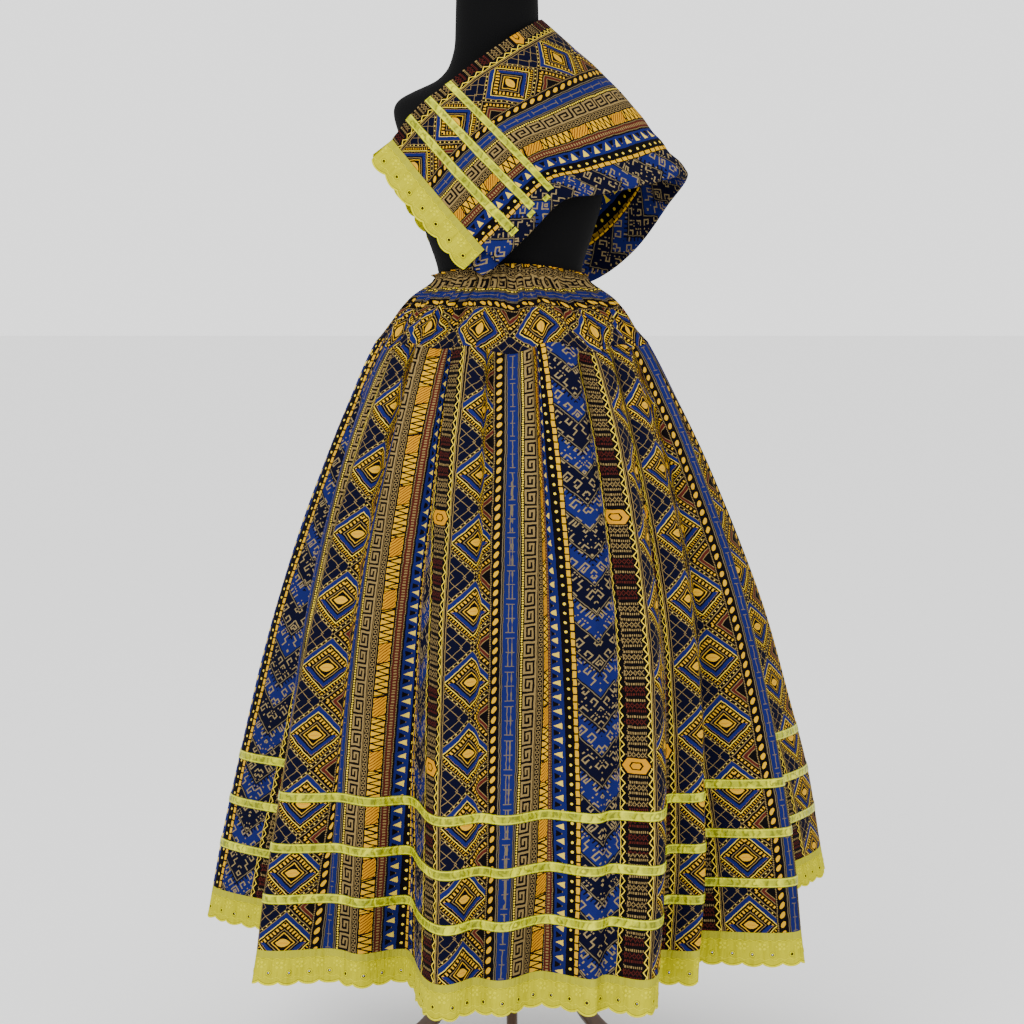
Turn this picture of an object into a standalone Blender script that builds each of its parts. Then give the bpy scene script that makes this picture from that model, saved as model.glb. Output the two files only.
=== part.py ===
"""Gathered print skirt and shoulder sash, worn by a limbless dress form on a tripod.

Metres, +Z up, floor at z = 0, the wearer faces -Y. Heights of cloth are given as a
drop below the skirt's top edge, and sash heights as a rise above it.
"""

import math

import bmesh
import bpy
import numpy as np

# Driving sizes
WAIST_HEIGHT = 1.370  # top edge of the gathered waist above the floor
SKIRT_LENGTH = 1.085  # waist top to the tips of the lace
LACE_DEPTH = 0.052
CLOTH = 0.0016  # wall that stands for the printed cotton
LACE_CLOTH = 0.0014
RIBBON_CLOTH = 0.0010
RIBBON_WIDTH = 0.013
SEAM_GAP = 0.0003
CENTRE_SHIFT = (-0.027, 0.009)  # brings the set's outline over the origin

# Skirt: rings from the waist down. Half sizes are of the mean ring, without folds.
CASING_DEPTH = 0.026
SIDE_DIP = 0.018  # the heading stands high at the front and flat at the sides
YOKE_DEPTH = 0.130
GATHERS = 60
COLUMNS = 2 * GATHERS
SKIRT_PROFILE = (
    # drop, half_width, half_depth, centre_x, gather_depth
    (0.000, 0.1225, 0.0985, -0.003, 0.0030),
    (0.014, 0.1195, 0.0960, -0.002, 0.0020),
    (0.026, 0.1205, 0.0985, -0.001, 0.0024),
    (0.060, 0.1610, 0.1440, 0.001, 0.0030),
    (0.130, 0.2150, 0.2040, 0.001, 0.0008),
    (0.230, 0.2660, 0.2600, 0.002, 0.0),
    (0.370, 0.3215, 0.3160, 0.004, 0.0),
    (0.555, 0.3810, 0.3750, 0.006, 0.0),
    (0.760, 0.4280, 0.4240, 0.006, 0.0),
    (0.900, 0.4550, 0.4520, 0.005, 0.0),
    (1.033, 0.4740, 0.4740, 0.001, 0.0),
    (1.085, 0.4810, 0.4810, 0.000, 0.0),
)
CASING_DROPS = (0.0, 0.014, CASING_DEPTH)
YOKE_DROPS = (CASING_DEPTH, 0.060, YOKE_DEPTH)
PANEL_DROPS = (YOKE_DEPTH, 0.230, 0.370, 0.555, 0.760, 0.900, SKIRT_LENGTH - LACE_DEPTH)
SEAM_WAVES = (
    # height, waves round the yoke seam, start
    (0.006, 11, 0.0),
    (0.004, 7, 1.0),
)
MEAN_REACH = 0.480
SEAM_SHARE = 0.10  # how much of a hem fold shows at the yoke seam
FOLD_GROWTH = 1.2
HEM_TURNS = (
    # angle_deg from the front, reach from the axis
    (-180.0, 0.530),
    (-171.0, 0.460),
    (-163.0, 0.500),
    (-154.0, 0.425),
    (-143.0, 0.545),
    (-134.0, 0.460),
    (-127.0, 0.495),
    (-118.0, 0.415),
    (-109.0, 0.525),
    (-99.0, 0.425),
    (-90.0, 0.508),
    (-72.0, 0.390),
    (-60.5, 0.435),
    (-53.0, 0.410),
    (-46.5, 0.540),
    (-37.5, 0.460),
    (-30.5, 0.455),
    (-23.0, 0.402),
    (-11.5, 0.553),
    (-6.0, 0.512),
    (-2.0, 0.526),
    (5.0, 0.478),
    (12.0, 0.532),
    (15.0, 0.515),
    (21.0, 0.558),
    (29.5, 0.438),
    (36.5, 0.468),
    (45.5, 0.388),
    (58.5, 0.528),
    (70.0, 0.415),
    (80.0, 0.465),
    (98.0, 0.425),
    (118.5, 0.636),
    (130.0, 0.455),
    (138.0, 0.520),
    (146.0, 0.430),
    (154.0, 0.535),
    (162.0, 0.450),
    (168.0, 0.505),
    (174.0, 0.445),
)
RIBBON_DROPS = {"upper": 0.808, "middle": 0.883, "lower": 0.958}

# Eyelet lace: one hole in each repeat, cut through
LACE_REPEAT = 0.031
EYELET = 0.0052
EYELET_DROP = 0.033  # from the lace's sewn edge to the middle of the hole
SCALLOP = 0.005

# Sash: lines across the strip from the front lace seam, over the shoulder, to the back
SASH_LINES = (
    # run, top x, top y, top rise, low x, low y, low rise, bulge
    (0.000, -0.189, -0.080, 0.196, -0.026, -0.126, 0.003, 0.006),
    (0.055, -0.157, -0.102, 0.235, 0.020, -0.136, 0.046, 0.010),
    (0.140, -0.100, -0.112, 0.281, 0.075, -0.138, 0.100, 0.014),
    (0.240, -0.041, -0.099, 0.327, 0.140, -0.120, 0.113, 0.018),
    (0.330, 0.014, -0.068, 0.366, 0.208, -0.082, 0.128, 0.018),
    (0.410, 0.0465, -0.004, 0.389, 0.281, -0.006, 0.146, 0.012),
    (0.490, 0.026, 0.066, 0.374, 0.256, 0.076, 0.100, 0.018),
    (0.580, -0.034, 0.100, 0.332, 0.203, 0.130, 0.026, 0.018),
    (0.690, -0.103, 0.114, 0.280, 0.120, 0.158, -0.030, 0.014),
    (0.790, -0.156, 0.104, 0.230, 0.030, 0.164, -0.034, 0.010),
    (0.850, -0.192, 0.072, 0.207, -0.040, 0.152, -0.018, 0.006),
)
SASH_RIDGE = 0.410
SASH_END = 0.850
SASH_RIBBONS = (0.046, 0.093, 0.140)  # middle of each ribbon from the lace seam
SASH_PLAIN_COLUMNS = 4  # between the last ribbon and the ridge
SASH_ACROSS = (0.0, 0.2, 0.4, 0.6, 0.8, 1.0)
SASH_RIBBON_END = 0.92  # the ribbons stop short of the rolled lower edge
SASH_LACE_END = 0.90
ROLL_RADIUS = 0.004
TURN_UNDER = 0.055
FLAP_REACH = 0.055  # the turned-under cloth shows past the front lace
FLAP_RUN = 0.10

# Dress form: rings from the closed underside to the top of the neck
FORM_SIDES = 32
FORM_RINGS = (
    # rise, half_width, half_depth, centre_x, centre_y
    (-0.200, 0.1450, 0.1100, -0.004, 0.004),
    (-0.190, 0.1570, 0.1200, -0.004, 0.004),
    (-0.130, 0.1600, 0.1240, -0.004, 0.004),
    (-0.070, 0.1330, 0.1060, -0.003, 0.001),
    (-0.025, 0.1142, 0.0912, -0.003, 0.000),
    (0.000, 0.1185, 0.0900, -0.004, 0.000),
    (0.035, 0.1310, 0.0980, -0.004, -0.001),
    (0.090, 0.1490, 0.1070, -0.005, -0.004),
    (0.150, 0.1600, 0.1130, -0.008, -0.006),
    (0.200, 0.1670, 0.1040, -0.013, -0.002),
    (0.232, 0.1740, 0.0900, -0.017, 0.004),
    (0.251, 0.1740, 0.0780, -0.019, 0.008),
    (0.264, 0.1640, 0.0700, -0.020, 0.010),
    (0.278, 0.1350, 0.0640, -0.021, 0.012),
    (0.293, 0.0985, 0.0620, -0.022, 0.010),
    (0.312, 0.0790, 0.0620, -0.023, 0.006),
    (0.345, 0.0680, 0.0620, -0.024, 0.002),
    (0.442, 0.0655, 0.0630, -0.024, 0.000),
    (0.450, 0.0600, 0.0580, -0.024, 0.000),
)

# Stand
POLE_RADIUS = 0.0125
HUB_RADIUS = 0.030
HUB_BOTTOM = 0.262
HUB_TOP = 0.372
LEG_THICKNESS = 0.018
LEG_OUTLINE = (
    # distance from the pole's axis, height: round the leg seen from its side
    (0.0303, 0.352),
    (0.058, 0.316),
    (0.092, 0.250),
    (0.124, 0.168),
    (0.164, 0.092),
    (0.222, 0.042),
    (0.300, 0.020),
    (0.306, 0.010),
    (0.304, 0.000),
    (0.252, 0.000),
    (0.206, 0.022),
    (0.148, 0.070),
    (0.104, 0.142),
    (0.070, 0.222),
    (0.044, 0.272),
    (0.0303, 0.286),
)
LEG_ANGLES = {"front": 0.0, "right": 120.0, "left": 240.0}

# Colours, linear
PRINT_BLUE = (0.020, 0.045, 0.190)
PRINT_BROWN = (0.055, 0.035, 0.020)
LACE_YELLOW = (0.640, 0.560, 0.010)
RIBBON_YELLOW = (0.680, 0.700, 0.030)
FORM_BLACK = (0.012, 0.012, 0.013)
POLE_GREY = (0.080, 0.080, 0.085)
LEG_BROWN = (0.075, 0.030, 0.010)


def clear_scene():
    for item in list(bpy.data.objects):
        bpy.data.objects.remove(item)


def material(name, colour, roughness, metallic=0.0):
    made = bpy.data.materials.get(name) or bpy.data.materials.new(name)
    made.use_nodes = True
    shader = made.node_tree.nodes["Principled BSDF"]
    shader.inputs["Base Color"].default_value = (*colour, 1.0)
    shader.inputs["Roughness"].default_value = roughness
    shader.inputs["Metallic"].default_value = metallic
    return made


def add_solid(name, points, faces, finish, parent, sharp_deg=40.0):
    """One closed body from its points and faces, turned to face out and shaded smooth."""
    shell = bmesh.new()
    corners = [shell.verts.new(point) for point in points]
    for face in faces:
        shell.faces.new([corners[k] for k in face])
    bmesh.ops.recalc_face_normals(shell, faces=shell.faces[:])
    mesh = bpy.data.meshes.new(name)
    shell.to_mesh(mesh)
    shell.free()
    mesh.materials.append(finish)
    mesh.shade_smooth()
    mesh.set_sharp_from_angle(angle=math.radians(sharp_deg))
    made = bpy.data.objects.new(name, mesh)
    bpy.context.scene.collection.objects.link(made)
    made.parent = parent
    return made


def through(knots, values, at):
    """Catmull-Rom curve through the values at the knots, read at each place in at."""
    knots = np.asarray(knots, float)
    values = np.asarray(values, float)
    slopes = np.gradient(values, knots, axis=0)
    at = np.clip(np.asarray(at, float), knots[0], knots[-1])
    k = np.clip(np.searchsorted(knots, at, side="right") - 1, 0, len(knots) - 2)
    span = knots[k + 1] - knots[k]
    s = (at - knots[k]) / span
    if values.ndim > 1:
        s = s[..., None]
        span = span[..., None]
    start, end = values[k], values[k + 1]
    return (
        (2 * s**3 - 3 * s**2 + 1) * start
        + (s**3 - 2 * s**2 + s) * span * slopes[k]
        + (-2 * s**3 + 3 * s**2) * end
        + (s**3 - s**2) * span * slopes[k + 1]
    )


def hem_turn_curves(t):
    """Angle in degrees and reach of the hem at each share t of the way round."""
    turns = np.array(HEM_TURNS)
    count = len(turns)
    whole_turn = np.array([360.0, 0.0])
    around = np.vstack([turns[-3:] - whole_turn, turns, turns[:3] + whole_turn])
    knots = np.arange(-3, count + 3) / count
    laps = np.floor(t)
    read = through(knots, around, t - laps)
    return read[..., 0] + 360.0 * laps, read[..., 1]


def skirt_surface(t, drop):
    """Points of the skirt's middle surface: t runs once round from the back, by the left."""
    t, drop = np.broadcast_arrays(np.asarray(t, float), np.asarray(drop, float))
    profile = np.array(SKIRT_PROFILE)
    half_width, half_depth, centre_x, gather = (
        through(profile[:, 0], profile[:, k], drop) for k in range(1, 5)
    )
    fall = np.clip((drop - YOKE_DEPTH) / (SKIRT_LENGTH - YOKE_DEPTH), 0.0, 1.0)
    above = np.clip(drop / YOKE_DEPTH, 0.0, 1.0) ** 2
    share = SEAM_SHARE * above + (1.0 - SEAM_SHARE) * fall**FOLD_GROWTH
    hem_angle, reach = hem_turn_curves(t)
    even_angle = 360.0 * t - 180.0
    angle = np.radians(even_angle + (hem_angle - even_angle) * fall)
    push = share * (reach - MEAN_REACH) + gather * np.cos(2 * np.pi * GATHERS * t)
    wave = sum(h * np.cos(2 * np.pi * n * t + start) for h, n, start in SEAM_WAVES)
    near_seam = np.sin(np.pi * np.clip(drop / (2 * YOKE_DEPTH), 0.0, 1.0)) ** 2
    heading = 1.0 - np.clip(drop / CASING_DEPTH, 0.0, 1.0)
    dip = SIDE_DIP * heading * np.sin(angle) ** 2
    return np.stack(
        [
            centre_x + (half_width + push) * np.sin(angle),
            -(half_depth + push) * np.cos(angle),
            WAIST_HEIGHT - drop + wave * near_seam - dip,
        ],
        axis=-1,
    )


def level_out(t, drop):
    """Level step for each point that moves the surface out by one, measured square to it."""
    aside, below = 1e-4, 1e-3
    along = skirt_surface(t + aside, drop) - skirt_surface(t - aside, drop)
    down = skirt_surface(t, drop + below) - skirt_surface(t, np.maximum(drop - below, 0.0))
    facing = np.cross(down, along)
    facing /= np.linalg.norm(facing, axis=-1, keepdims=True)
    level = facing * np.array([1.0, 1.0, 0.0])
    return level / np.sum(level**2, axis=-1, keepdims=True)


def add_wall(name, outer, inner, wraps, finish, parent):
    """A wall between two grids of points, rows down and columns round.

    Each cell is split along the diagonal that lies further in, so bands laid over
    the wall from column to column stay clear of it.
    """
    rows, columns = outer.shape[:2]
    count = rows * columns
    points = np.vstack([outer.reshape(-1, 3), inner.reshape(-1, 3)])
    faces = []
    for c in range(columns if wraps else columns - 1):
        d = (c + 1) % columns
        for r in range(rows - 1):
            a, b = r * columns + c, (r + 1) * columns + c
            e, f = (r + 1) * columns + d, r * columns + d
            facing = points[a] + points[e] - points[a + count] - points[e + count]
            split_ae = (points[a] + points[e] - points[b] - points[f]) @ facing < 0
            halves = [(a, b, e), (a, e, f)] if split_ae else [(a, b, f), (b, e, f)]
            faces += halves
            faces += [tuple(k + count for k in reversed(half)) for half in halves]
        last = (rows - 1) * columns
        faces.append((d, d + count, c + count, c))
        faces.append((last + c, last + c + count, last + d + count, last + d))
    if not wraps:
        for c in (0, columns - 1):
            for r in range(rows - 1):
                a, b = r * columns + c, (r + 1) * columns + c
                faces.append((a, a + count, b + count, b))
    return add_solid(name, points, faces, finish, parent)


def skirt_rings(drops):
    """Grid of the skirt's points and its level steps out, one column for each half gather."""
    t, drop = np.meshgrid(np.arange(COLUMNS) / COLUMNS, np.array(drops))
    return skirt_surface(t, drop), level_out(t, drop)


def build_skirt_top(parent, cotton):
    yoke_drops = (YOKE_DROPS[0] + SEAM_GAP, *YOKE_DROPS[1:])
    for name, drops in (("skirt_waist_casing", CASING_DROPS), ("skirt_yoke", yoke_drops)):
        grid, out = skirt_rings(drops)
        half = out * CLOTH / 2
        add_wall(name, grid + half, grid - half, True, cotton, parent)


def build_skirt_panels(parent, cotton):
    """Front and back widths, joined at the sides and gathered to the yoke."""
    grid, out = skirt_rings((PANEL_DROPS[0] + SEAM_GAP, *PANEL_DROPS[1:]))
    for name, first in (("skirt_panel_front", COLUMNS // 4), ("skirt_panel_back", -COLUMNS // 4)):
        chosen = np.arange(first, first + COLUMNS // 2 + 1) % COLUMNS
        panel, half = grid[:, chosen], out[:, chosen] * CLOTH / 2
        for end, inside in ((0, 1), (-1, -2)):
            step = panel[:, inside] - panel[:, end]
            panel[:, end] += step * SEAM_GAP / 2 / np.linalg.norm(step, axis=1, keepdims=True)
        add_wall(name, panel + half, panel - half, False, cotton, parent)


def build_hem_ribbons(parent, satin):
    """Each band is read from the panels' own rows and columns, and moved out."""
    drops = np.array(PANEL_DROPS)
    grid, out = skirt_rings(PANEL_DROPS)
    for name, middle in RIBBON_DROPS.items():
        band = []
        for drop in (middle - RIBBON_WIDTH / 2, middle + RIBBON_WIDTH / 2):
            k = np.searchsorted(drops, drop) - 1
            s = (drop - drops[k]) / (drops[k + 1] - drops[k])
            band.append([(1 - s) * rows[k] + s * rows[k + 1] for rows in (grid, out)])
        ring = np.array([edge[0] for edge in band])
        facing = np.array([edge[1] for edge in band])
        near = ring + facing * (CLOTH / 2 + SEAM_GAP)
        add_wall(
            f"hem_ribbon_{name}", near + facing * RIBBON_CLOTH, near, True, satin, parent
        )


def lace_strip(name, length, surface, finish, parent):
    """Scalloped strip with a square eyelet in each repeat.

    surface(run, drop, side) gives the outer (side 1) or inner (side -1) point.
    """
    repeats = round(length / LACE_REPEAT)
    step = length / repeats
    high, low = EYELET_DROP - EYELET / 2, EYELET_DROP + EYELET / 2
    flat = []
    for k in range(repeats + 1):
        flat += [(k * step, 0.0), (k * step, LACE_DEPTH - SCALLOP)]
    for k in range(repeats):
        middle = (k + 0.5) * step
        left, right = middle - EYELET / 2, middle + EYELET / 2
        flat += [(left, high), (left, low), (right, low), (right, high)]
        flat.append((middle, LACE_DEPTH))
    fronts, rims = [], []
    for k in range(repeats):
        top, valley, next_top, next_valley = range(2 * k, 2 * k + 4)
        a, b, c, d, tip = range(2 * repeats + 2 + 5 * k, 2 * repeats + 7 + 5 * k)
        fronts += [(top, a, d, next_top), (top, valley, b, a), (d, c, next_valley, next_top)]
        fronts += [(valley, tip, b), (b, tip, c), (c, tip, next_valley)]
        rims += [(a, b), (b, c), (c, d), (d, a), (next_top, top)]
        rims += [(valley, tip), (tip, next_valley)]
    rims += [(0, 1), (2 * repeats, 2 * repeats + 1)]
    count = len(flat)
    run, drop = np.array(flat).T
    points = np.vstack([surface(run, drop, 1), surface(run, drop, -1)])
    faces = fronts + [tuple(k + count for k in reversed(face)) for face in fronts]
    faces += [(a, b, b + count, a + count) for a, b in rims]
    return add_solid(name, points, faces, finish, parent)


def build_hem_lace(parent, lace):
    """The lace hangs from the panels' lower edge in two halves, joined at the sides."""
    sewn_drop = SKIRT_LENGTH - LACE_DEPTH + SEAM_GAP
    stretch = (LACE_DEPTH - SEAM_GAP) / LACE_DEPTH
    t_known = np.linspace(0.25, 1.25, 4001)
    line = skirt_surface(t_known, SKIRT_LENGTH - LACE_DEPTH / 2)
    steps = np.linalg.norm(np.diff(line, axis=0), axis=1)
    length_known = np.concatenate([[0.0], np.cumsum(steps)])
    for name, start in (("hem_lace_front", 0.25), ("hem_lace_back", 0.75)):
        first, last = np.interp([start, start + 0.5], t_known, length_known)
        first += SEAM_GAP / 2

        def surface(run, drop, side, first=first):
            t = np.interp(first + run, length_known, t_known)
            down = sewn_drop + drop * stretch
            return skirt_surface(t, down) + level_out(t, down) * side * LACE_CLOTH / 2

        lace_strip(name, last - SEAM_GAP / 2 - first, surface, lace, parent)


def sash_lines(run):
    """Top point, lower point and bulge of the line across the sash at each run."""
    table = np.array(SASH_LINES)
    read = through(table[:, 0], table[:, 1:], run)
    rise = np.array([0.0, 0.0, WAIST_HEIGHT])
    return read[:, 0:3] + rise, read[:, 3:6] + rise, read[:, 6]


def unit(vectors):
    return vectors / np.linalg.norm(vectors, axis=-1, keepdims=True)


def sash_frame(runs):
    """Ends of the lines across the sash, with its directions down, ahead and out."""
    top, low, bulge = sash_lines(runs)
    reach = 0.002
    after, before = (
        sum(sash_lines(np.clip(runs + side * reach, 0.0, SASH_END))[:2]) for side in (1, -1)
    )
    down = unit(low - top)
    out = unit(np.cross(down, after - before))
    return top, low, bulge, down, np.cross(out, down), out


def sash_grid(runs):
    """Middle surface of the sash: rows run down across it, columns along it.

    The first rows are the outer ply, then come the rolled lower edge and the ply
    that is turned under.
    """
    top, low, bulge, down, ahead, out = sash_frame(runs)
    rows = [
        top + (low - top) * v + out * (bulge * math.sin(math.pi * v))[:, None]
        for v in SASH_ACROSS
    ]
    for turn in (60.0, 120.0, 180.0):
        phi = math.radians(turn)
        under = out * (1 - math.cos(phi)) * ROLL_RADIUS
        rows.append(low - under + down * ROLL_RADIUS * math.sin(phi))
    shows = np.clip(1.0 - runs / FLAP_RUN, 0.0, 1.0)[:, None] * FLAP_REACH
    rows.append(rows[-1] - down * TURN_UNDER - ahead * shows)
    rows[-2] = rows[-2] - ahead * shows * 0.6
    return np.array(rows)


def grid_normals(grid):
    """Unit normals of an open grid of points, rows down and columns ahead, facing out."""
    return unit(np.cross(np.gradient(grid, axis=0), np.gradient(grid, axis=1)))


def build_sash(parent, cotton, satin, lace):
    front_edges = [m + side * RIBBON_WIDTH / 2 for m in SASH_RIBBONS for side in (-1, 1)]
    plain = np.linspace(max(front_edges), SASH_RIDGE, SASH_PLAIN_COLUMNS + 2)[1:]
    half = [0.0, *front_edges, *plain]
    runs = np.array(sorted({*half, *(SASH_END - run for run in half)}))
    grid = sash_grid(runs)
    out = grid_normals(grid)
    add_wall("sash_cloth", grid + out * CLOTH / 2, grid - out * CLOTH / 2, False, cotton, parent)
    rows = len(SASH_ACROSS)
    short = (SASH_RIBBON_END - SASH_ACROSS[-2]) / (1.0 - SASH_ACROSS[-2])
    for side in ("front", "back"):
        for k, middle in enumerate(SASH_RIBBONS, 1):
            place = middle if side == "front" else SASH_END - middle
            c = int(np.argmin(np.abs(runs - (place - RIBBON_WIDTH / 2))))
            band, facing = grid[:rows, c : c + 2].copy(), out[:rows, c : c + 2]
            band[-1] = band[-2] * (1 - short) + band[-1] * short
            near = band + facing * (CLOTH / 2 + SEAM_GAP)
            far = near + facing * RIBBON_CLOTH
            add_wall(f"sash_{side}_ribbon_{k}", far, near, False, satin, parent)
        build_sash_lace(side, parent, lace)


def build_sash_lace(side, parent, lace):
    """The lace carries on from the end of the sash, in the direction of its last stretch."""
    place, sign = (0.0, -1.0) if side == "front" else (SASH_END, 1.0)
    top, low, bulge, down, ahead, out = (v[0] for v in sash_frame(np.array([place])))
    width = float(np.linalg.norm(low - top))

    def surface(run, drop, ply):
        bow = out * (bulge * np.sin(np.pi * run / width))[:, None]
        away = ahead * sign * (2 * SEAM_GAP + drop)[:, None]
        return top + down * run[:, None] + bow + away + out * ply * LACE_CLOTH / 2

    lace_strip(f"sash_{side}_lace", width * SASH_LACE_END, surface, lace, parent)


def build_form(parent, cover):
    """Closed torso and neck, lofted through elliptical rings."""
    rings = np.array(FORM_RINGS)
    angle = 2 * np.pi * np.arange(FORM_SIDES) / FORM_SIDES
    points, faces = [], []
    for rise, half_width, half_depth, centre_x, centre_y in rings:
        points += [
            (centre_x + half_width * x, centre_y + half_depth * y, WAIST_HEIGHT + rise)
            for x, y in zip(np.cos(angle), np.sin(angle))
        ]
    for r in range(len(rings) - 1):
        for k in range(FORM_SIDES):
            n = (k + 1) % FORM_SIDES
            a, b = r * FORM_SIDES, (r + 1) * FORM_SIDES
            faces.append((a + k, a + n, b + n, b + k))
    last = (len(rings) - 1) * FORM_SIDES
    faces.append(tuple(reversed(range(FORM_SIDES))))
    faces.append(tuple(range(last, last + FORM_SIDES)))
    add_solid("form_torso", points, faces, cover, parent)


def build_cylinder(name, radius, low, high, sides, finish, parent):
    shell = bmesh.new()
    bmesh.ops.create_cone(
        shell, cap_ends=True, segments=sides, radius1=radius, radius2=radius, depth=high - low
    )
    mesh = bpy.data.meshes.new(name)
    shell.to_mesh(mesh)
    shell.free()
    mesh.materials.append(finish)
    mesh.shade_smooth()
    mesh.set_sharp_from_angle(angle=math.radians(40.0))
    made = bpy.data.objects.new(name, mesh)
    bpy.context.scene.collection.objects.link(made)
    made.parent = parent
    made.location = (0.0, 0.0, (low + high) / 2)
    return made


def build_stand(parent, metal, wood):
    form_bottom = WAIST_HEIGHT + FORM_RINGS[0][0]
    build_cylinder(
        "stand_pole", POLE_RADIUS, HUB_TOP + SEAM_GAP, form_bottom - SEAM_GAP, 16, metal, parent
    )
    build_cylinder("stand_hub", HUB_RADIUS, HUB_BOTTOM, HUB_TOP, 24, wood, parent)
    for name, angle in LEG_ANGLES.items():
        half = LEG_THICKNESS / 2
        count = len(LEG_OUTLINE)
        points = [(side * half, -r, z) for side in (-1, 1) for r, z in LEG_OUTLINE]
        faces = [tuple(range(count)), tuple(reversed(range(count, 2 * count)))]
        faces += [
            (k, (k + 1) % count, (k + 1) % count + count, k + count) for k in range(count)
        ]
        leg = add_solid(f"stand_leg_{name}", points, faces, wood, parent)
        leg.rotation_euler = (0.0, 0.0, math.radians(angle))


def main():
    clear_scene()
    cotton = material("printed_cotton", PRINT_BLUE, 0.8)
    yoke_cotton = material("printed_cotton_yoke", PRINT_BROWN, 0.8)
    satin = material("satin_ribbon", RIBBON_YELLOW, 0.35)
    lace = material("eyelet_lace", LACE_YELLOW, 0.75)
    cover = material("form_cover", FORM_BLACK, 0.9)
    metal = material("pole_metal", POLE_GREY, 0.4, 0.8)
    wood = material("leg_wood", LEG_BROWN, 0.5)
    middle = bpy.data.objects.new("set_middle", None)
    bpy.context.scene.collection.objects.link(middle)
    middle.location = (*CENTRE_SHIFT, 0.0)
    build_skirt_top(middle, yoke_cotton)
    build_skirt_panels(middle, cotton)
    build_hem_ribbons(middle, satin)
    build_hem_lace(middle, lace)
    build_sash(middle, cotton, satin, lace)
    build_form(middle, cover)
    build_stand(middle, metal, wood)


main()
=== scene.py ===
"""Gathered print skirt and shoulder sash on a limbless dress form, dressed for rendering.

Metres, +Z up, the wearer faces -Y. Every cloth piece is a closed thin wall worked out
from the same tables as the solid that it stands for.
"""

import math

import bpy
import numpy as np
from bpy.props import FloatProperty, FloatVectorProperty, IntProperty, PointerProperty
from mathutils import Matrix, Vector


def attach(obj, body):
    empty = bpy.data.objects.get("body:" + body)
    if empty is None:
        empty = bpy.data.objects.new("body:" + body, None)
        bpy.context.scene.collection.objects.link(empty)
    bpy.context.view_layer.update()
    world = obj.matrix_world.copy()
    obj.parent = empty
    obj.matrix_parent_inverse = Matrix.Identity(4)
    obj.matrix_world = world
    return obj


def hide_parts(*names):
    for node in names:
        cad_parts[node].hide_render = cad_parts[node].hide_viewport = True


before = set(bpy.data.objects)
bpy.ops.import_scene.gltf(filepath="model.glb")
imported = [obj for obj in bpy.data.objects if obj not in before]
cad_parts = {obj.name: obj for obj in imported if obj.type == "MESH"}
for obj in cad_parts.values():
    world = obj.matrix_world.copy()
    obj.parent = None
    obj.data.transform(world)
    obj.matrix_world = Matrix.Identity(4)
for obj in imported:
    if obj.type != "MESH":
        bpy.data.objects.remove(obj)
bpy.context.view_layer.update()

bl_info = {
    "name": "Skirt and Shoulder Sash",
    "version": (1, 0, 0),
    "blender": (4, 5, 0),
    "location": "3D View > Sidebar > Skirt Set",
    "description": "Builds a gathered print skirt, a lace-ended sash and their dress form",
    "category": "Object",
}

# Sizes shared with the solids
WAIST_HEIGHT = 1.370
SKIRT_LENGTH = 1.085
LACE_DEPTH = 0.052
CLOTH = 0.0016
LACE_CLOTH = 0.0014
RIBBON_CLOTH = 0.0010
SEAM_GAP = 0.0003
MIDDLE = np.array([-0.027, 0.009, 0.0])
CASING_DEPTH = 0.026
SIDE_DIP = 0.018
YOKE_DEPTH = 0.130
PANEL_END = SKIRT_LENGTH - LACE_DEPTH
GATHERS = 60
SKIRT_PROFILE = np.array([
    # drop, half_width, half_depth, centre_x, gather_depth
    (0.000, 0.1225, 0.0985, -0.003, 0.0030),
    (0.014, 0.1195, 0.0960, -0.002, 0.0020),
    (0.026, 0.1205, 0.0985, -0.001, 0.0024),
    (0.060, 0.1610, 0.1440, 0.001, 0.0030),
    (0.130, 0.2150, 0.2040, 0.001, 0.0008),
    (0.230, 0.2660, 0.2600, 0.002, 0.0),
    (0.370, 0.3215, 0.3160, 0.004, 0.0),
    (0.555, 0.3810, 0.3750, 0.006, 0.0),
    (0.760, 0.4280, 0.4240, 0.006, 0.0),
    (0.900, 0.4550, 0.4520, 0.005, 0.0),
    (1.033, 0.4740, 0.4740, 0.001, 0.0),
    (1.085, 0.4810, 0.4810, 0.000, 0.0),
])
SEAM_WAVES = ((0.006, 11, 0.0), (0.004, 7, 1.0))  # height, waves round, start
MEAN_REACH = 0.480
SEAM_SHARE = 0.10
FOLD_GROWTH = 1.2
HEM_TURNS = np.array([
    # angle_deg from the front, reach from the axis: crest and valley by turns
    (-180.0, 0.530), (-171.0, 0.460), (-163.0, 0.500), (-154.0, 0.425),
    (-143.0, 0.545), (-134.0, 0.460), (-127.0, 0.495), (-118.0, 0.415),
    (-109.0, 0.525), (-99.0, 0.425), (-90.0, 0.508), (-72.0, 0.390),
    (-60.5, 0.435), (-53.0, 0.410), (-46.5, 0.540), (-37.5, 0.460),
    (-30.5, 0.455), (-23.0, 0.402), (-11.5, 0.553), (-6.0, 0.512),
    (-2.0, 0.526), (5.0, 0.478), (12.0, 0.532), (15.0, 0.515),
    (21.0, 0.558), (29.5, 0.438), (36.5, 0.468), (45.5, 0.388),
    (58.5, 0.528), (70.0, 0.415), (80.0, 0.465), (98.0, 0.425),
    (118.5, 0.636), (130.0, 0.455), (138.0, 0.520), (146.0, 0.430),
    (154.0, 0.535), (162.0, 0.450), (168.0, 0.505), (174.0, 0.445),
])
HALF_FOLDS = len(HEM_TURNS)
RIBBON_DROPS = {"upper": 0.808, "middle": 0.883, "lower": 0.958}
LACE_REPEAT = 0.031
EYELET_DROP = 0.033
SCALLOP = 0.005
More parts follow.
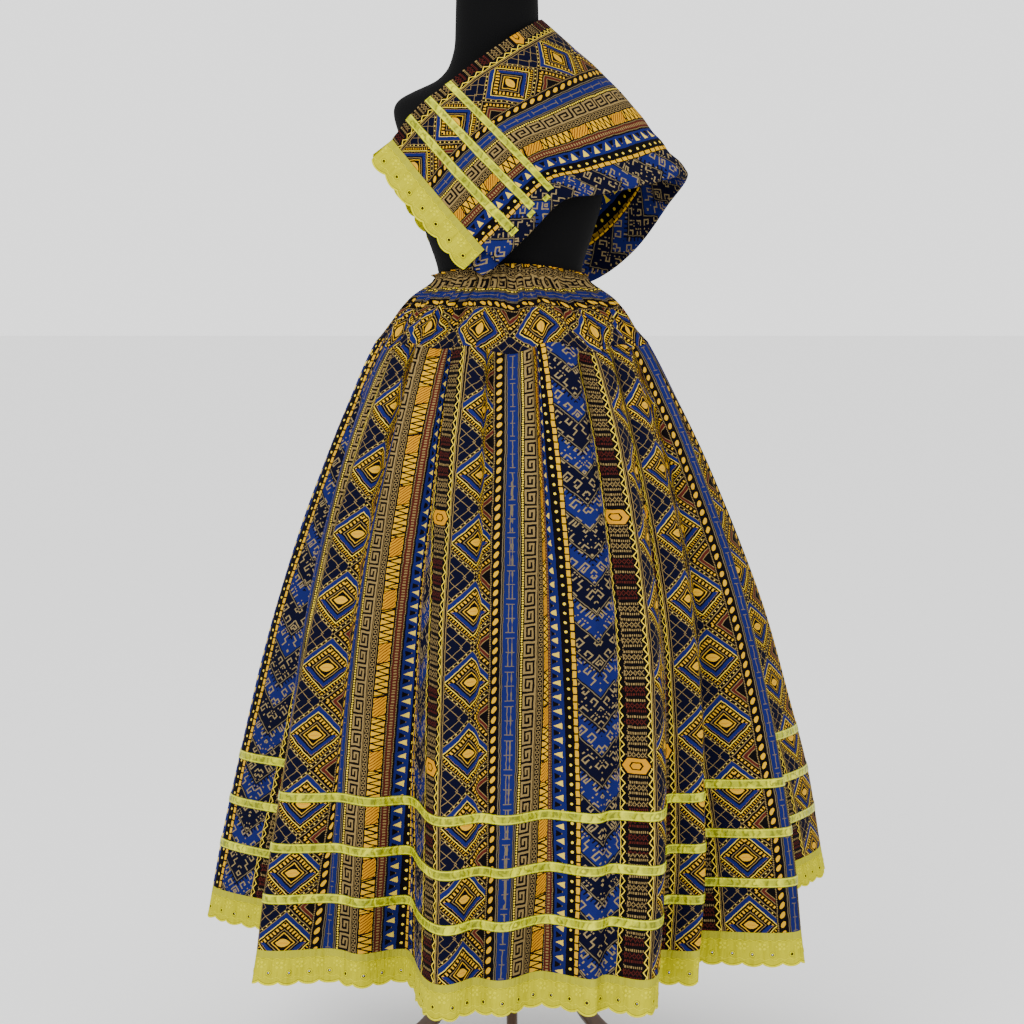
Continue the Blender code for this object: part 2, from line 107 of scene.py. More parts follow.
SASH_LINES = np.array([
    # run, top x, top y, top rise, low x, low y, low rise, bulge
    (0.000, -0.189, -0.080, 0.196, -0.026, -0.126, 0.003, 0.006),
    (0.055, -0.157, -0.102, 0.235, 0.020, -0.136, 0.046, 0.010),
    (0.140, -0.100, -0.112, 0.281, 0.075, -0.138, 0.100, 0.014),
    (0.240, -0.041, -0.099, 0.327, 0.140, -0.120, 0.113, 0.018),
    (0.330, 0.014, -0.068, 0.366, 0.208, -0.082, 0.128, 0.018),
    (0.410, 0.0465, -0.004, 0.389, 0.281, -0.006, 0.146, 0.012),
    (0.490, 0.026, 0.066, 0.374, 0.256, 0.076, 0.100, 0.018),
    (0.580, -0.034, 0.100, 0.332, 0.203, 0.130, 0.026, 0.018),
    (0.690, -0.103, 0.114, 0.280, 0.120, 0.158, -0.030, 0.014),
    (0.790, -0.156, 0.104, 0.230, 0.030, 0.164, -0.034, 0.010),
    (0.850, -0.192, 0.072, 0.207, -0.040, 0.152, -0.018, 0.006),
])
SASH_END = 0.850
SASH_RIBBONS = (0.046, 0.093, 0.140)
SASH_RIBBON_END = 0.92
SASH_LACE_END = 0.90
ROLL_RADIUS = 0.004
TURN_UNDER = 0.055
FLAP_REACH = 0.055
FLAP_RUN = 0.10
FORM_RINGS = np.array([
    # rise, half_width, half_depth, centre_x, centre_y
    (-0.200, 0.1450, 0.1100, -0.004, 0.004),
    (-0.190, 0.1570, 0.1200, -0.004, 0.004),
    (-0.130, 0.1600, 0.1240, -0.004, 0.004),
    (-0.070, 0.1330, 0.1060, -0.003, 0.001),
    (-0.025, 0.1142, 0.0912, -0.003, 0.000),
    (0.000, 0.1185, 0.0900, -0.004, 0.000),
    (0.035, 0.1310, 0.0980, -0.004, -0.001),
    (0.090, 0.1490, 0.1070, -0.005, -0.004),
    (0.150, 0.1600, 0.1130, -0.008, -0.006),
    (0.200, 0.1670, 0.1040, -0.013, -0.002),
    (0.232, 0.1740, 0.0900, -0.017, 0.004),
    (0.251, 0.1740, 0.0780, -0.019, 0.008),
    (0.264, 0.1640, 0.0700, -0.020, 0.010),
    (0.278, 0.1350, 0.0640, -0.021, 0.012),
    (0.293, 0.0985, 0.0620, -0.022, 0.010),
    (0.312, 0.0790, 0.0620, -0.023, 0.006),
    (0.345, 0.0680, 0.0620, -0.024, 0.002),
    (0.442, 0.0655, 0.0630, -0.024, 0.000),
    (0.450, 0.0600, 0.0580, -0.024, 0.000),
])
POLE_RADIUS = 0.0125
HUB_RADIUS = 0.030
HUB_BOTTOM = 0.262
HUB_TOP = 0.372
LEG_THICKNESS = 0.018
LEG_ANGLES = {"front": 0.0, "right": 120.0, "left": 240.0}

# Finer detail, worked out for the scene alone
FINE_GATHERS = 97
FINER_GATHERS = 163
WANDER_WAVES = ((2.1, 5, 0.4), (1.3, 9, 2.0))  # radians, waves round, start
PLAIN_EDGE = 0.002  # the top of the heading, which the waist's gathers leave alone
HEADING_FADE = 0.020  # drop over which the heading's gathers fade
WAIST_FADE = 0.035  # distance from the waist over which its gathers fade
SEAM_FADE_DOWN = 0.055  # distance from the yoke seam over which its gathers fade
SEAM_FADE_UP = 0.012
YOKE_WAVES = 31
YOKE_WAVE_HEIGHT = 0.0016
GROOVE_HALF_WIDTH = 0.0030  # share of the way round
GROOVE_WIDENS = 0.004  # share of the way round for each metre down
GROOVE_RISE = 0.012  # drop below the seam over which a groove gets deep
GROOVE_FADE = 0.36  # and over which it fades
UNEVEN_HEIGHT = 0.0011
UNEVEN_RISE = 0.10  # drop below the seam at which the cloth is fully uneven
EYELET_RADIUS = 0.0011
EYELET_RING = (0.0009, 0.0009, 0.0007)  # out from the eyelet, half width, height
SCALLOP_CORD = (0.0008, 0.0010, 0.0005)  # up from the lower edge, half width, height
SASH_TAIL = (0.930, 0.958)  # a fold hides the ribbons between their end and this
SASH_TAIL_SHIFT = 0.009  # each tail after the first draws this much more to the sash's end
SASH_WIDTH = 0.30
SASH_CREASES = (
    # run and across at the start, run and across at the end, half width, height
    (0.150, 0.86, 0.400, 0.74, 0.016, -0.0040),
    (0.185, 0.97, 0.405, 0.88, 0.012, -0.0035),
    (0.020, 0.82, 0.180, 0.85, 0.008, -0.0035),
    (0.190, 0.10, 0.370, 0.42, 0.022, 0.0030),
    (0.120, 0.30, 0.330, 0.62, 0.020, -0.0025),
    (0.050, 0.45, 0.210, 0.60, 0.014, 0.0018),
    (0.300, 0.66, 0.420, 0.96, 0.020, 0.0035),
    (0.430, 0.90, 0.620, 0.60, 0.020, -0.0045),
    (0.450, 0.70, 0.700, 0.35, 0.022, 0.0035),
    (0.560, 0.95, 0.800, 0.70, 0.018, -0.0035),
    (0.640, 0.40, 0.830, 0.20, 0.020, -0.0025),
)
CREASE_FADE = 0.02  # length over which a crease fades at its ends
RIPPLE_HEIGHT = 0.0007
EDGE_RIPPLE_HEIGHT = 0.0008
FORM_ROWS = 146
FORM_SMOOTHINGS = 7
FORM_PLAIN_ROWS = 5  # at each end, these rings aren't smoothed
LEG_SECTIONS = np.array([
    # distance from the pole's axis and height: upper side, lower side
    (0.0303, 0.352, 0.0303, 0.286),
    (0.058, 0.316, 0.044, 0.272),
    (0.092, 0.250, 0.070, 0.222),
    (0.124, 0.168, 0.104, 0.142),
    (0.164, 0.092, 0.148, 0.070),
    (0.222, 0.042, 0.206, 0.022),
    (0.300, 0.020, 0.252, 0.000),
    (0.306, 0.010, 0.304, 0.000),
])
POLE_BEVEL = 0.00075
HUB_BEVEL = 0.003

# Stage
FLOOR_REACH = 40.0
SKY_STRENGTH = 1.8
LIGHTS = (
    # name, place, size, watts
    ("key", (-1.6, -3.2, 3.2), 1.6, 110.0),
    ("fill", (2.4, -2.6, 1.8), 2.0, 30.0),
)
LIGHT_AIM = (0.0, 0.0, 1.0)
CAMERA_PLACE = (-0.027, -3.73, 1.37)
CAMERA_LOOKS_DOWN_DEG = 6.2
LENS_MM = 80.4
SENSOR_MM = 36.0

# Print: bands across one repeat of the cloth, in metres from its start
REPEAT = 0.3325
BANDS = {
    # name: (start, end)
    "comb": (0.0000, 0.0460),
    "rails": (0.0460, 0.0515),
    "diamonds": (0.0515, 0.1215),
    "ovals": (0.1215, 0.1365),
    "blue_stripe": (0.1365, 0.1595),
    "beads": (0.1595, 0.1635),
    "key": (0.1635, 0.1855),
    "links": (0.1855, 0.1955),
    "blocks": (0.1955, 0.2165),
    "brown": (0.2165, 0.2295),
    "triangles": (0.2295, 0.2535),
    "dots": (0.2535, 0.2635),
    "bricks": (0.2635, 0.2715),
    "field": (0.2715, 0.3325),
}
TOP_SEAM_PLACE = 0.179  # place across the print at the seam between casing and yoke
YOKE_PRINT = 0.1215  # width of print that the yoke shows
CASING_PRINT = 1.1  # print per length of the casing
TOP_PRINT_ROUND = 1.36  # length of print once round casing and yoke
SASH_PRINT_START = 0.0215  # place across the print at the sash's upper edge
SASH_PRINT = 0.288  # width of print that its outer ply shows
RIBBON_PATTERN = 0.013  # width of the satin's pattern
PANEL_PRINT = 0.88  # share of the skirt widths' cloth that their print counts
PANEL_PRINT_START = 8 * REPEAT  # whole repeats, so that no place falls below 0
PRINT_PLACES = {
    # half fold that the stretch begins at, crest in it, place of the print on that crest
    "skirt_panel_front": (
        (10, 12, 0.148), (13, 14, 0.050), (17, 20, 0.148), (25, 26, 0.085), (27, 28, 0.155),
    ),
    "skirt_panel_back": ((30, 32, 0.150), (33, 40, 0.220)),
}
KEY_CHART = (
    "#######",
    "#.....#",
    "#.###.#",
    "#.#.#.#",
    "#.#.#.#",
    "#...#.#",
    "#####.#",
    "......#",
)
COMB_CHART = (
    "######################",
    "#.#.#.#.#.##.#.#.#.#.#",
    "#.#.#.#.#.##.#.#.#.#.#",
    "......................",
    "#...#...#....#...#...#",
    ".#.#.#.#.#..#.#.#.#.#.",
    "..#...#...##...#...#..",
    ".#.#.#.#.#..#.#.#.#.#.",
    "#...#...#....#...#...#",
    "......................",
    "#.#.#.#.#.##.#.#.#.#.#",
    "#.#.#.#.#.##.#.#.#.#.#",
    "######################",
    "......................",
)
FIELD_CHART = (
    "......................",
    "..#######.............",
    "..#.....#......####...",
    "..#.....#......#..#...",
    "..#..####......#......",
    "..#............#......",
    "...............#####..",
    "......................",
    ".......##.............",
    "......................",
    "..####......########..",
    ".....#......#.........",
    ".....#......#..####...",
    "..####......#.....#...",
    "............#######...",
    "......................",
    "......................",
    ".#####................",
    ".....#......####......",
    ".....#......#.........",
    ".....#####..#...##....",
    "............#....#....",
    "............######....",
    "......................",
    "...##.............##..",
    "......................",
)


# Curves and surfaces


def through(knots, values, at):
    """Cubic curve through the values at the knots, read at each place in at.

    Its slope at a knot comes from the values at the knots beside it.
    """
    values = np.asarray(values, float)
    slopes = np.gradient(values, knots, axis=0)
    at = np.clip(np.asarray(at, float), knots[0], knots[-1])
    k = np.clip(np.searchsorted(knots, at, side="right") - 1, 0, len(knots) - 2)
    span = knots[k + 1] - knots[k]
    s = (at - knots[k]) / span
    if values.ndim > 1:
        s, span = s[..., None], span[..., None]
    return (
        (2 * s**3 - 3 * s**2 + 1) * values[k]
        + (s**3 - 2 * s**2 + s) * span * slopes[k]
        + (-2 * s**3 + 3 * s**2) * values[k + 1]
        + (s**3 - s**2) * span * slopes[k + 1]
    )


def unit(vectors):
    """The vectors, each over its own length."""
    return vectors / np.linalg.norm(vectors, axis=-1, keepdims=True)


def bell(x, half_width):
    """Bell curve: 1 where x is 0, 1 / e at half_width on either side of it."""
    return np.exp(-((x / half_width) ** 2))


def grid_normals(grid):
    """Unit normals of a grid of points, rows down and columns ahead: down x ahead."""
    return unit(np.cross(np.gradient(grid, axis=0), np.gradient(grid, axis=1)))


def run_lengths(grid, axis):
    """Length along the grid from its first row or column to each point."""
    steps = np.linalg.norm(np.diff(grid, axis=axis), axis=-1)
    pad = [(0, 0), (0, 0)]
    pad[axis] = (1, 0)
    return np.cumsum(np.pad(steps, pad), axis=axis)


def running_sum(steps):
    """The sums of the first 0, 1, 2 and so on up to all the steps."""
    return np.concatenate([[0.0], np.cumsum(steps)])


def flat_places(across, along):
    """Cloth places of a grid from their two parts, each spread over the whole grid."""
    return np.stack(np.broadcast_arrays(across, along), axis=-1)


def closed_round(grid):
    """The grid with its first column once more at its end."""
    return np.concatenate([grid, grid[:, :1]], axis=1)


def hem_turn_curves(t):
    """Angle in degrees and reach of the hem at each share t of the way round.

    A curve runs through the table, which goes on by three turns beyond each end.
    """
    lap, more = np.array([360.0, 0.0]), 3
    around = np.vstack([HEM_TURNS[-more:] - lap, HEM_TURNS, HEM_TURNS[:more] + lap])
    knots = np.arange(-more, HALF_FOLDS + more) / HALF_FOLDS
    laps = np.floor(t)
    read = through(knots, around, t - laps)
    return read[..., 0] + 360.0 * laps, read[..., 1]


def skirt_surface(t, drop):
    """Middle surface of the skirt, t once round from the back and drop down from the waist.

    An ellipse for each height, its angle turned from even spacing towards the hem's
    table by the fall below the yoke, pushed out by the hem's reach times that fall
    and by 60 cosine gathers. Height is the drop, with sine waves near the yoke seam.
    """
    t, drop = np.broadcast_arrays(np.asarray(t, float), np.asarray(drop, float))
    half_width, half_depth, centre_x, gather = (
        through(SKIRT_PROFILE[:, 0], SKIRT_PROFILE[:, k], drop) for k in range(1, 5)
    )
    fall = np.clip((drop - YOKE_DEPTH) / (SKIRT_LENGTH - YOKE_DEPTH), 0.0, 1.0)
    above = np.clip(drop / YOKE_DEPTH, 0.0, 1.0) ** 2
    share = SEAM_SHARE * above + (1.0 - SEAM_SHARE) * fall**FOLD_GROWTH
    hem_angle, reach = hem_turn_curves(t)
    even_angle = 360.0 * t - 180.0
    angle = np.radians(even_angle + (hem_angle - even_angle) * fall)
    push = share * (reach - MEAN_REACH) + gather * np.cos(2 * np.pi * GATHERS * t)
    wave = sum(h * np.cos(2 * np.pi * n * t + start) for h, n, start in SEAM_WAVES)
    near_seam = np.sin(np.pi * np.clip(drop / (2 * YOKE_DEPTH), 0.0, 1.0)) ** 2
    heading = 1.0 - np.clip(drop / CASING_DEPTH, 0.0, 1.0)
    dip = SIDE_DIP * heading * np.sin(angle) ** 2
    x = centre_x + (half_width + push) * np.sin(angle)
    y = -(half_depth + push) * np.cos(angle)
    return np.stack([x, y, WAIST_HEIGHT - drop + wave * near_seam - dip], axis=-1) + MIDDLE


def level_out(t, drop):
    """Level step for each point that moves the surface out by one, measured square to it."""
    round_step, down_step = 1e-4, 1e-3
    along = skirt_surface(t + round_step, drop) - skirt_surface(t - round_step, drop)
    below, above = drop + down_step, np.maximum(drop - down_step, 0.0)
    down = skirt_surface(t, below) - skirt_surface(t, above)
    level = unit(np.cross(down, along)) * np.array([1.0, 1.0, 0.0])
    return level / np.sum(level**2, axis=-1, keepdims=True)


def wander(turn):
    """Slow change of the gathers' phase round the body: a sum of sines."""
    return sum(size * np.sin(n * turn + start) for size, n, start in WANDER_WAVES)


def skirt_detail(t, drop, pleat_depth, pucker):
    """How far the cloth stands out of its plain surface.

    Small gathers fade away from the heading, the waist and the yoke seam. They are powers
    of |sine| of t with a wandering phase, so that crests are round and valleys sharp. Below
    the seam a narrow bell-shaped groove follows each valley, and slow crossed sines give
    the cloth its soft unevenness.
    """
    turn = 2 * np.pi * t
    phase = wander(turn)
    uneven = 0.65 + 0.35 * np.sin(23 * turn + 2.0 * phase)
    fine = np.abs(np.sin((FINE_GATHERS * turn + 2.0 * phase) / 2)) ** 0.7 * uneven
    finer = np.abs(np.sin((FINER_GATHERS * turn + 2.6 * phase) / 2)) ** 0.8
    heading = bell(drop, HEADING_FADE)
    waist = np.exp(-np.abs(drop - CASING_DEPTH) / WAIST_FADE) * (drop > PLAIN_EDGE)
    stands = pucker * (0.45 * fine * heading + 0.7 * finer * waist + 0.7 * fine * waist)
    drawn = np.sin(np.pi * np.clip(drop / YOKE_DEPTH, 0.0, 1.0)) ** 2
    stands = stands + YOKE_WAVE_HEIGHT * drawn * np.sin(YOKE_WAVES * turn + phase)
    below = np.clip(drop - YOKE_DEPTH, 0.0, None)
    above = np.clip(YOKE_DEPTH - drop, 0.0, None)
    seam = np.exp(-below / SEAM_FADE_DOWN) * np.exp(-above / SEAM_FADE_UP)
    stands = stands + pucker * seam * (0.8 * finer + 1.1 * fine)
    place = np.mod(t * HALF_FOLDS - 1.0, 2.0)
    off = np.minimum(place, 2.0 - place) / HALF_FOLDS
    groove = bell(off, GROOVE_HALF_WIDTH + GROOVE_WIDENS * below)
    depth = pleat_depth * bell(below, GROOVE_FADE) * (1 - np.exp(-below / GROOVE_RISE))
    slow = np.sin(31 * turn + 14 * drop) * np.sin(9.0 * drop + 6 * turn)
    slow = slow + 0.6 * np.sin(47 * turn - 23 * drop + 1.0)
    settled = np.clip(below / UNEVEN_RISE, 0.0, 1.0)
    return stands - depth * groove + UNEVEN_HEIGHT * slow * settled


def skirt_cloth(t, drop, lift=0.0):
    """Point of the finished cloth, lift metres out from the middle of its wall."""
    sizes = bpy.context.scene.skirt_set
    stands = skirt_detail(t, drop, sizes.pleat_depth, sizes.pucker_height)
    return skirt_surface(t, drop) + level_out(t, drop) * (stands + lift)[..., None]


def fold_columns(first, last, per_half):
    """Shares t from half fold first to last, closer together near the valleys.

    In each half fold the even step s becomes 0.35 s + 0.65 sin(90 s), with s in degrees,
    where the valley is at its end, and the mirror of that where it is at its start.
    """

    def crowded(s):
        return 0.35 * s + 0.65 * np.sin(s * np.pi / 2)

    k = np.arange((last - first) * per_half + 1)
    fold, s = first + k // per_half, (k % per_half) / per_half
    return (fold + np.where(fold % 2 == 0, crowded(s), 1.0 - crowded(1 - s))) / HALF_FOLDS


def spread_across(points, first, per_half, hidden_in):
    """Flat place across the cloth for each point of a gathered panel.

    The cloth shows at its true width away from a valley. What a row is shorter than the
    hem goes into the last hidden_in metres before the valley, or the last four tenths of a
    narrow half fold, as x (2 - x) of the distance x.
    """
    arc = run_lengths(points, 1)
    knots = arc[:, ::per_half]
    shows = np.diff(knots, axis=1)
    flat = shows[-1]
    k = np.arange(points.shape[1])
    fold = np.minimum(k // per_half, len(flat) - 1)
    a = arc - knots[:, fold]
    whole = shows[:, fold]
    hidden = np.maximum(flat[fold] - whole, 0.0)
    ends_in_valley = (first + fold) % 2 == 0
    near = np.where(ends_in_valley, whole - a, a)
    x = np.clip(near / np.minimum(hidden_in, 0.4 * whole), 0.0, 1.0)
    x = x * (2.0 - x)
    taken = hidden * np.where(ends_in_valley, 1.0 - x, x)
    begins = running_sum(flat)[fold]
    return begins + a + taken


def sash_lines(run):
    """Top point, lower point and bulge of the line across the sash at each run."""
    read = through(SASH_LINES[:, 0], SASH_LINES[:, 1:], run)
    base = MIDDLE + np.array([0.0, 0.0, WAIST_HEIGHT])
    return read[..., 0:3] + base, read[..., 3:6] + base, read[..., 6]


def sash_frame(run):
    """Ends and bulge of the lines across the sash, with its directions down, ahead and out."""
    top, low, bulge = sash_lines(run)
    after, before = (
        sum(sash_lines(np.clip(run + step, 0.0, SASH_END))[:2]) for step in (0.002, -0.002)
    )
    down = unit(low - top)
    out = unit(np.cross(down, after - before))
    return top, low, bulge, down, np.cross(out, down), out


def sash_surface(run, across):
    """Middle surface of the sash. across is 0 to 1 over the outer ply, 1 to 2 round the
    rolled lower edge, a half circle, and 2 to 3 over the straight ply turned under.

    The outer ply is the straight line from top to low point, bowed out by a sine.
    """
    run, across = np.broadcast_arrays(np.asarray(run, float), np.asarray(across, float))
    top, low, bulge, down, ahead, out = sash_frame(run)
    v = np.clip(across, 0.0, 1.0)[..., None]
    phi = np.pi * np.clip(across - 1.0, 0.0, 1.0)[..., None]
    q = np.clip(across - 2.0, 0.0, 1.0)[..., None]
    shows = np.clip(1.0 - run / FLAP_RUN, 0.0, 1.0)[..., None] * FLAP_REACH
    slide = 0.6 * np.clip(across - 1.3, 0.0, 0.7)[..., None] / 0.7 + 0.4 * q
    return (
        top
        + (low - top) * v
        + out * bulge[..., None] * np.sin(np.pi * v)
        - out * (1 - np.cos(phi)) * ROLL_RADIUS
        + down * (ROLL_RADIUS * np.sin(phi) - TURN_UNDER * q)
        - ahead * shows * slide
    )


def sash_detail(run, across):
    """Height of the creases: each is a bell across its straight line, faded at its ends.

    Crossed sines add a faint ripple, and a finer one along the upper edge.
    """
    v = np.clip(across, 0.0, 1.0)
    stands = np.zeros(np.broadcast(run, v).shape)
    for run_a, v_a, run_b, v_b, half, height in SASH_CREASES:
        line = np.array([run_b - run_a, (v_b - v_a) * SASH_WIDTH])
        length = np.hypot(*line)
        x, y = run - run_a, (v - v_a) * SASH_WIDTH
        s = (x * line[0] + y * line[1]) / length**2
        off = (x * line[1] - y * line[0]) / length
        fade = bell(np.clip(np.abs(s - 0.5) - 0.5, 0.0, None) * length, CREASE_FADE)
        stands += height * fade * bell(off, half)
    ripple = RIPPLE_HEIGHT * np.sin(run * 190 + 9 * v) * np.sin(v * 21 + run * 40)
    edge = EDGE_RIPPLE_HEIGHT * np.sin(run * 260 + 2 * np.sin(run * 33)) * bell(v, 0.06)
    return (stands + ripple + edge) * np.clip(1.0 - (across - 1.0) / 0.3, 0.0, 1.0)


def sash_cloth(run, across, lift=0.0):
    """Point of the finished sash on a grid, lift metres out from the middle of its wall."""
    grid = sash_surface(run, across)
    stands = sash_detail(run, across)
    return grid + grid_normals(grid) * (stands + lift)[..., None]


def both_sides(cloth, first, second):
    """Outer and inner points of printed cotton on skirt_cloth or sash_cloth."""
    return cloth(first, second, CLOTH / 2), cloth(first, second, -CLOTH / 2)


def ribbon_sides(cloth, first, second, pucker):
    """Outer and inner points of a ribbon sewn to the cloth, which stands out by pucker."""
    near = CLOTH / 2 + SEAM_GAP
    outer = cloth(first, second, near + RIBBON_CLOTH * 0.6 + pucker)
    return outer, cloth(first, second, near + pucker * 0.8)


# Meshes


def finish_mesh(name, points, quads, corner_uv, finish, sharp_deg=50.0):
    """A mesh from arrays of points, four-sided faces and the cloth place of each corner."""
    mesh = bpy.data.meshes.new(name)
    count = len(quads)
    mesh.vertices.add(len(points))
    mesh.vertices.foreach_set("co", np.ascontiguousarray(points, np.float32).ravel())
    mesh.loops.add(4 * count)
    mesh.loops.foreach_set("vertex_index", np.ascontiguousarray(quads, np.int32).ravel())
    mesh.polygons.add(count)
    mesh.polygons.foreach_set("loop_start", np.arange(0, 4 * count, 4, dtype=np.int32))
    mesh.update(calc_edges=True)
    mesh.validate()
    layer = mesh.uv_layers.new(name="cloth")
    layer.data.foreach_set("uv", np.ascontiguousarray(corner_uv, np.float32).ravel())
    mesh.materials.append(finish)
    mesh.shade_smooth()
    mesh.set_sharp_from_angle(angle=math.radians(sharp_deg))
    made = bpy.data.objects.new(name, mesh)
    bpy.context.scene.collection.objects.link(made)
    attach(made, "root")
    return made


def wall(name, outer, inner, quads, uv, finish):
    """Closed wall between two sheets of points that share their faces.

    The inner sheet is turned over, and a strip of faces joins the sheets along every
    edge that only one face has.
    """
    count = len(outer)
    edges = np.stack([quads, np.roll(quads, -1, axis=1)], axis=-1).reshape(-1, 2)
    key = np.sort(edges, axis=1) @ np.array([count, 1])
    _, where, times = np.unique(key, return_index=True, return_counts=True)
    rim = edges[where[times == 1]]
    rim_faces = np.stack([rim[:, 1], rim[:, 0], rim[:, 0] + count, rim[:, 1] + count], axis=1)
    faces = np.vstack([quads, quads[:, ::-1] + count, rim_faces])
    corner_uv = uv if uv.ndim == 3 else uv[quads]
    by_point = np.zeros((count, 2))
    by_point[quads] = corner_uv
    rim_uv = by_point[rim_faces % count]
    corners = np.concatenate([corner_uv, corner_uv[:, ::-1], rim_uv])
    return finish_mesh(name, np.vstack([outer, inner]), faces, corners, finish)


def grid_quads(rows, columns, wraps=False):
    """Faces of a grid, seen from outside with rows down and columns to the right."""
    r, c = np.meshgrid(np.arange(rows - 1), np.arange(columns if wraps else columns - 1))
    r, c = r.T.ravel(), c.T.ravel()
    d = (c + 1) % columns
    above, below = r * columns, (r + 1) * columns
    return np.stack([above + c, below + c, below + d, above + d], axis=1)


def grid_wall(name, outer, inner, uv, finish, wraps=False, shift=0.0):
    """Closed wall between two grids. Round a tube, uv has one column more than the points.

    shift moves the print of each column of faces across the cloth.
    """
    rows, columns = outer.shape[:2]
    quads = grid_quads(rows, columns, wraps)
    uv = uv.reshape(-1, 2)[grid_quads(rows, columns + wraps)]
    uv = uv.reshape(rows - 1, -1, 4, 2)
    uv[..., 0] += np.reshape(shift, (-1, 1))
    uv = uv.reshape(-1, 4, 2)
    return wall(name, outer.reshape(-1, 3), inner.reshape(-1, 3), quads, uv, finish)


def closed_tube(name, rings, uv, finish, sharp_deg):
    """Shell round rings of points, closed by strips of faces across its end rings.

    uv has one column more than the points. The faces are turned over where the volume
    under them, summed as p . (q x r) over their halves, comes out negative.
    """
    rows, sides = rings.shape[:2]
    points = rings.reshape(-1, 3)
    k = np.arange(sides // 2 - 1)
    lid = np.stack([k, k + 1, sides - 2 - k, sides - 1 - k], axis=1)
    base = lid[:, ::-1] + (rows - 1) * sides
    quads = np.vstack([grid_quads(rows, sides, wraps=True), lid, base])
    flat = uv[:, :sides].reshape(-1, 2)
    corner_uv = np.concatenate([
        uv.reshape(-1, 2)[grid_quads(rows, sides + 1)], flat[lid], flat[base]
    ])
    p, q, r, t = (points[quads[:, k]] for k in range(4))
    if np.sum(p * (np.cross(q, r) + np.cross(r, t))) < 0:
        quads, corner_uv = quads[:, ::-1], corner_uv[:, ::-1]
    return finish_mesh(name, points, quads, corner_uv, finish, sharp_deg)


def turned_rings(profile, sides):
    """Rings and flat places of a profile of (height, radius) turned round the stand's axis."""
    height, radius = np.array(profile).T[:, :, None]
    angle = 2 * np.pi * np.arange(sides) / sides
    rings = np.stack(np.broadcast_arrays(
        radius * np.cos(angle), radius * np.sin(angle), height
    ), axis=-1) + MIDDLE
    around = np.arange(sides + 1) / sides * 2 * np.pi * radius.max()
    return rings, flat_places(around, height)


def soft_bar(low, high, radius, bevel):
    """Profile of a round bar whose two ends are bevelled."""
    return (
        (low, radius - bevel),
        (low + bevel, radius),
        (high - bevel, radius),
        (high, radius - bevel),
    )


def leg_rings(angle_deg, sides=40, rows=100):
    """Rings and flat places of a leg: soft-cornered sections along its two side curves.

    A section is |x|^5.7 + |y|^5.7 = 1 stretched to the leg's thickness and to the
    distance between its curves. The toe narrows as a square root.
    """
    s = np.linspace(0.0, len(LEG_SECTIONS) - 1.0, rows)
    read = through(np.arange(len(LEG_SECTIONS)), LEG_SECTIONS, s)
    upper, lower = read[:, None, 0:2], read[:, None, 2:4]
    phi = 2 * np.pi * np.arange(sides) / sides
    x, y = (np.sign(f) * np.abs(f) ** 0.35 for f in (np.cos(phi), np.sin(phi)))
    toe = np.sqrt(np.clip((s[-1] + 0.03 - s) / 0.7, 0.0, 1.0))[:, None]
    side = LEG_THICKNESS / 2 * x * toe
    away = (upper + lower) / 2 + (upper - lower) / 2 * y[:, None]
    height = np.clip(away[..., 1], 0.0, None)
    turn = math.radians(angle_deg)
    rings = np.stack([
        side * math.cos(turn) + away[..., 0] * math.sin(turn),
        side * math.sin(turn) - away[..., 0] * math.cos(turn),
        height,
    ], axis=-1) + MIDDLE
    along = run_lengths((upper + lower) / 2, 0)
    girth = 0.08
    return rings, flat_places(np.arange(sides + 1) / sides * girth, along)


def form_rings(sides):
    """Rings and flat places of the dress form: ellipses spaced evenly along its side.

    Heights, widths and centres are smoothed together, a few times over: half of a ring's
    own value and a quarter of each neighbour's.
    """
    table = FORM_RINGS[::-1]
    steps = np.hypot(np.diff(table[:, 0]), np.diff(table[:, 1]))
    far = running_sum(steps)
    at = np.linspace(0.0, far[-1], FORM_ROWS)
    rings = np.stack([np.interp(at, far, column) for column in table.T], axis=1)
    end = FORM_PLAIN_ROWS
    for _ in range(FORM_SMOOTHINGS):
        before, after = rings[end - 1:-end - 1], rings[end + 1:-end + 1]
        rings[end:-end] = (before + 2 * rings[end:-end] + after) / 4
    rise, half_width, half_depth, centre_x, centre_y = rings.T[:, :, None]
    angle = 2 * np.pi * np.arange(sides) / sides
    points = np.stack(np.broadcast_arrays(
        centre_x + half_width * np.sin(angle), centre_y - half_depth * np.cos(angle),
        WAIST_HEIGHT + rise,
    ), axis=-1) + MIDDLE
    return points, flat_places(np.arange(sides + 1) / sides, rise)


def scallop_edge(x, step):
    """Drop of the lace's lower edge: a half sine to the power 0.7 over each step."""
    return LACE_DEPTH - SCALLOP + SCALLOP * np.sin(np.pi * x / step) ** 0.7


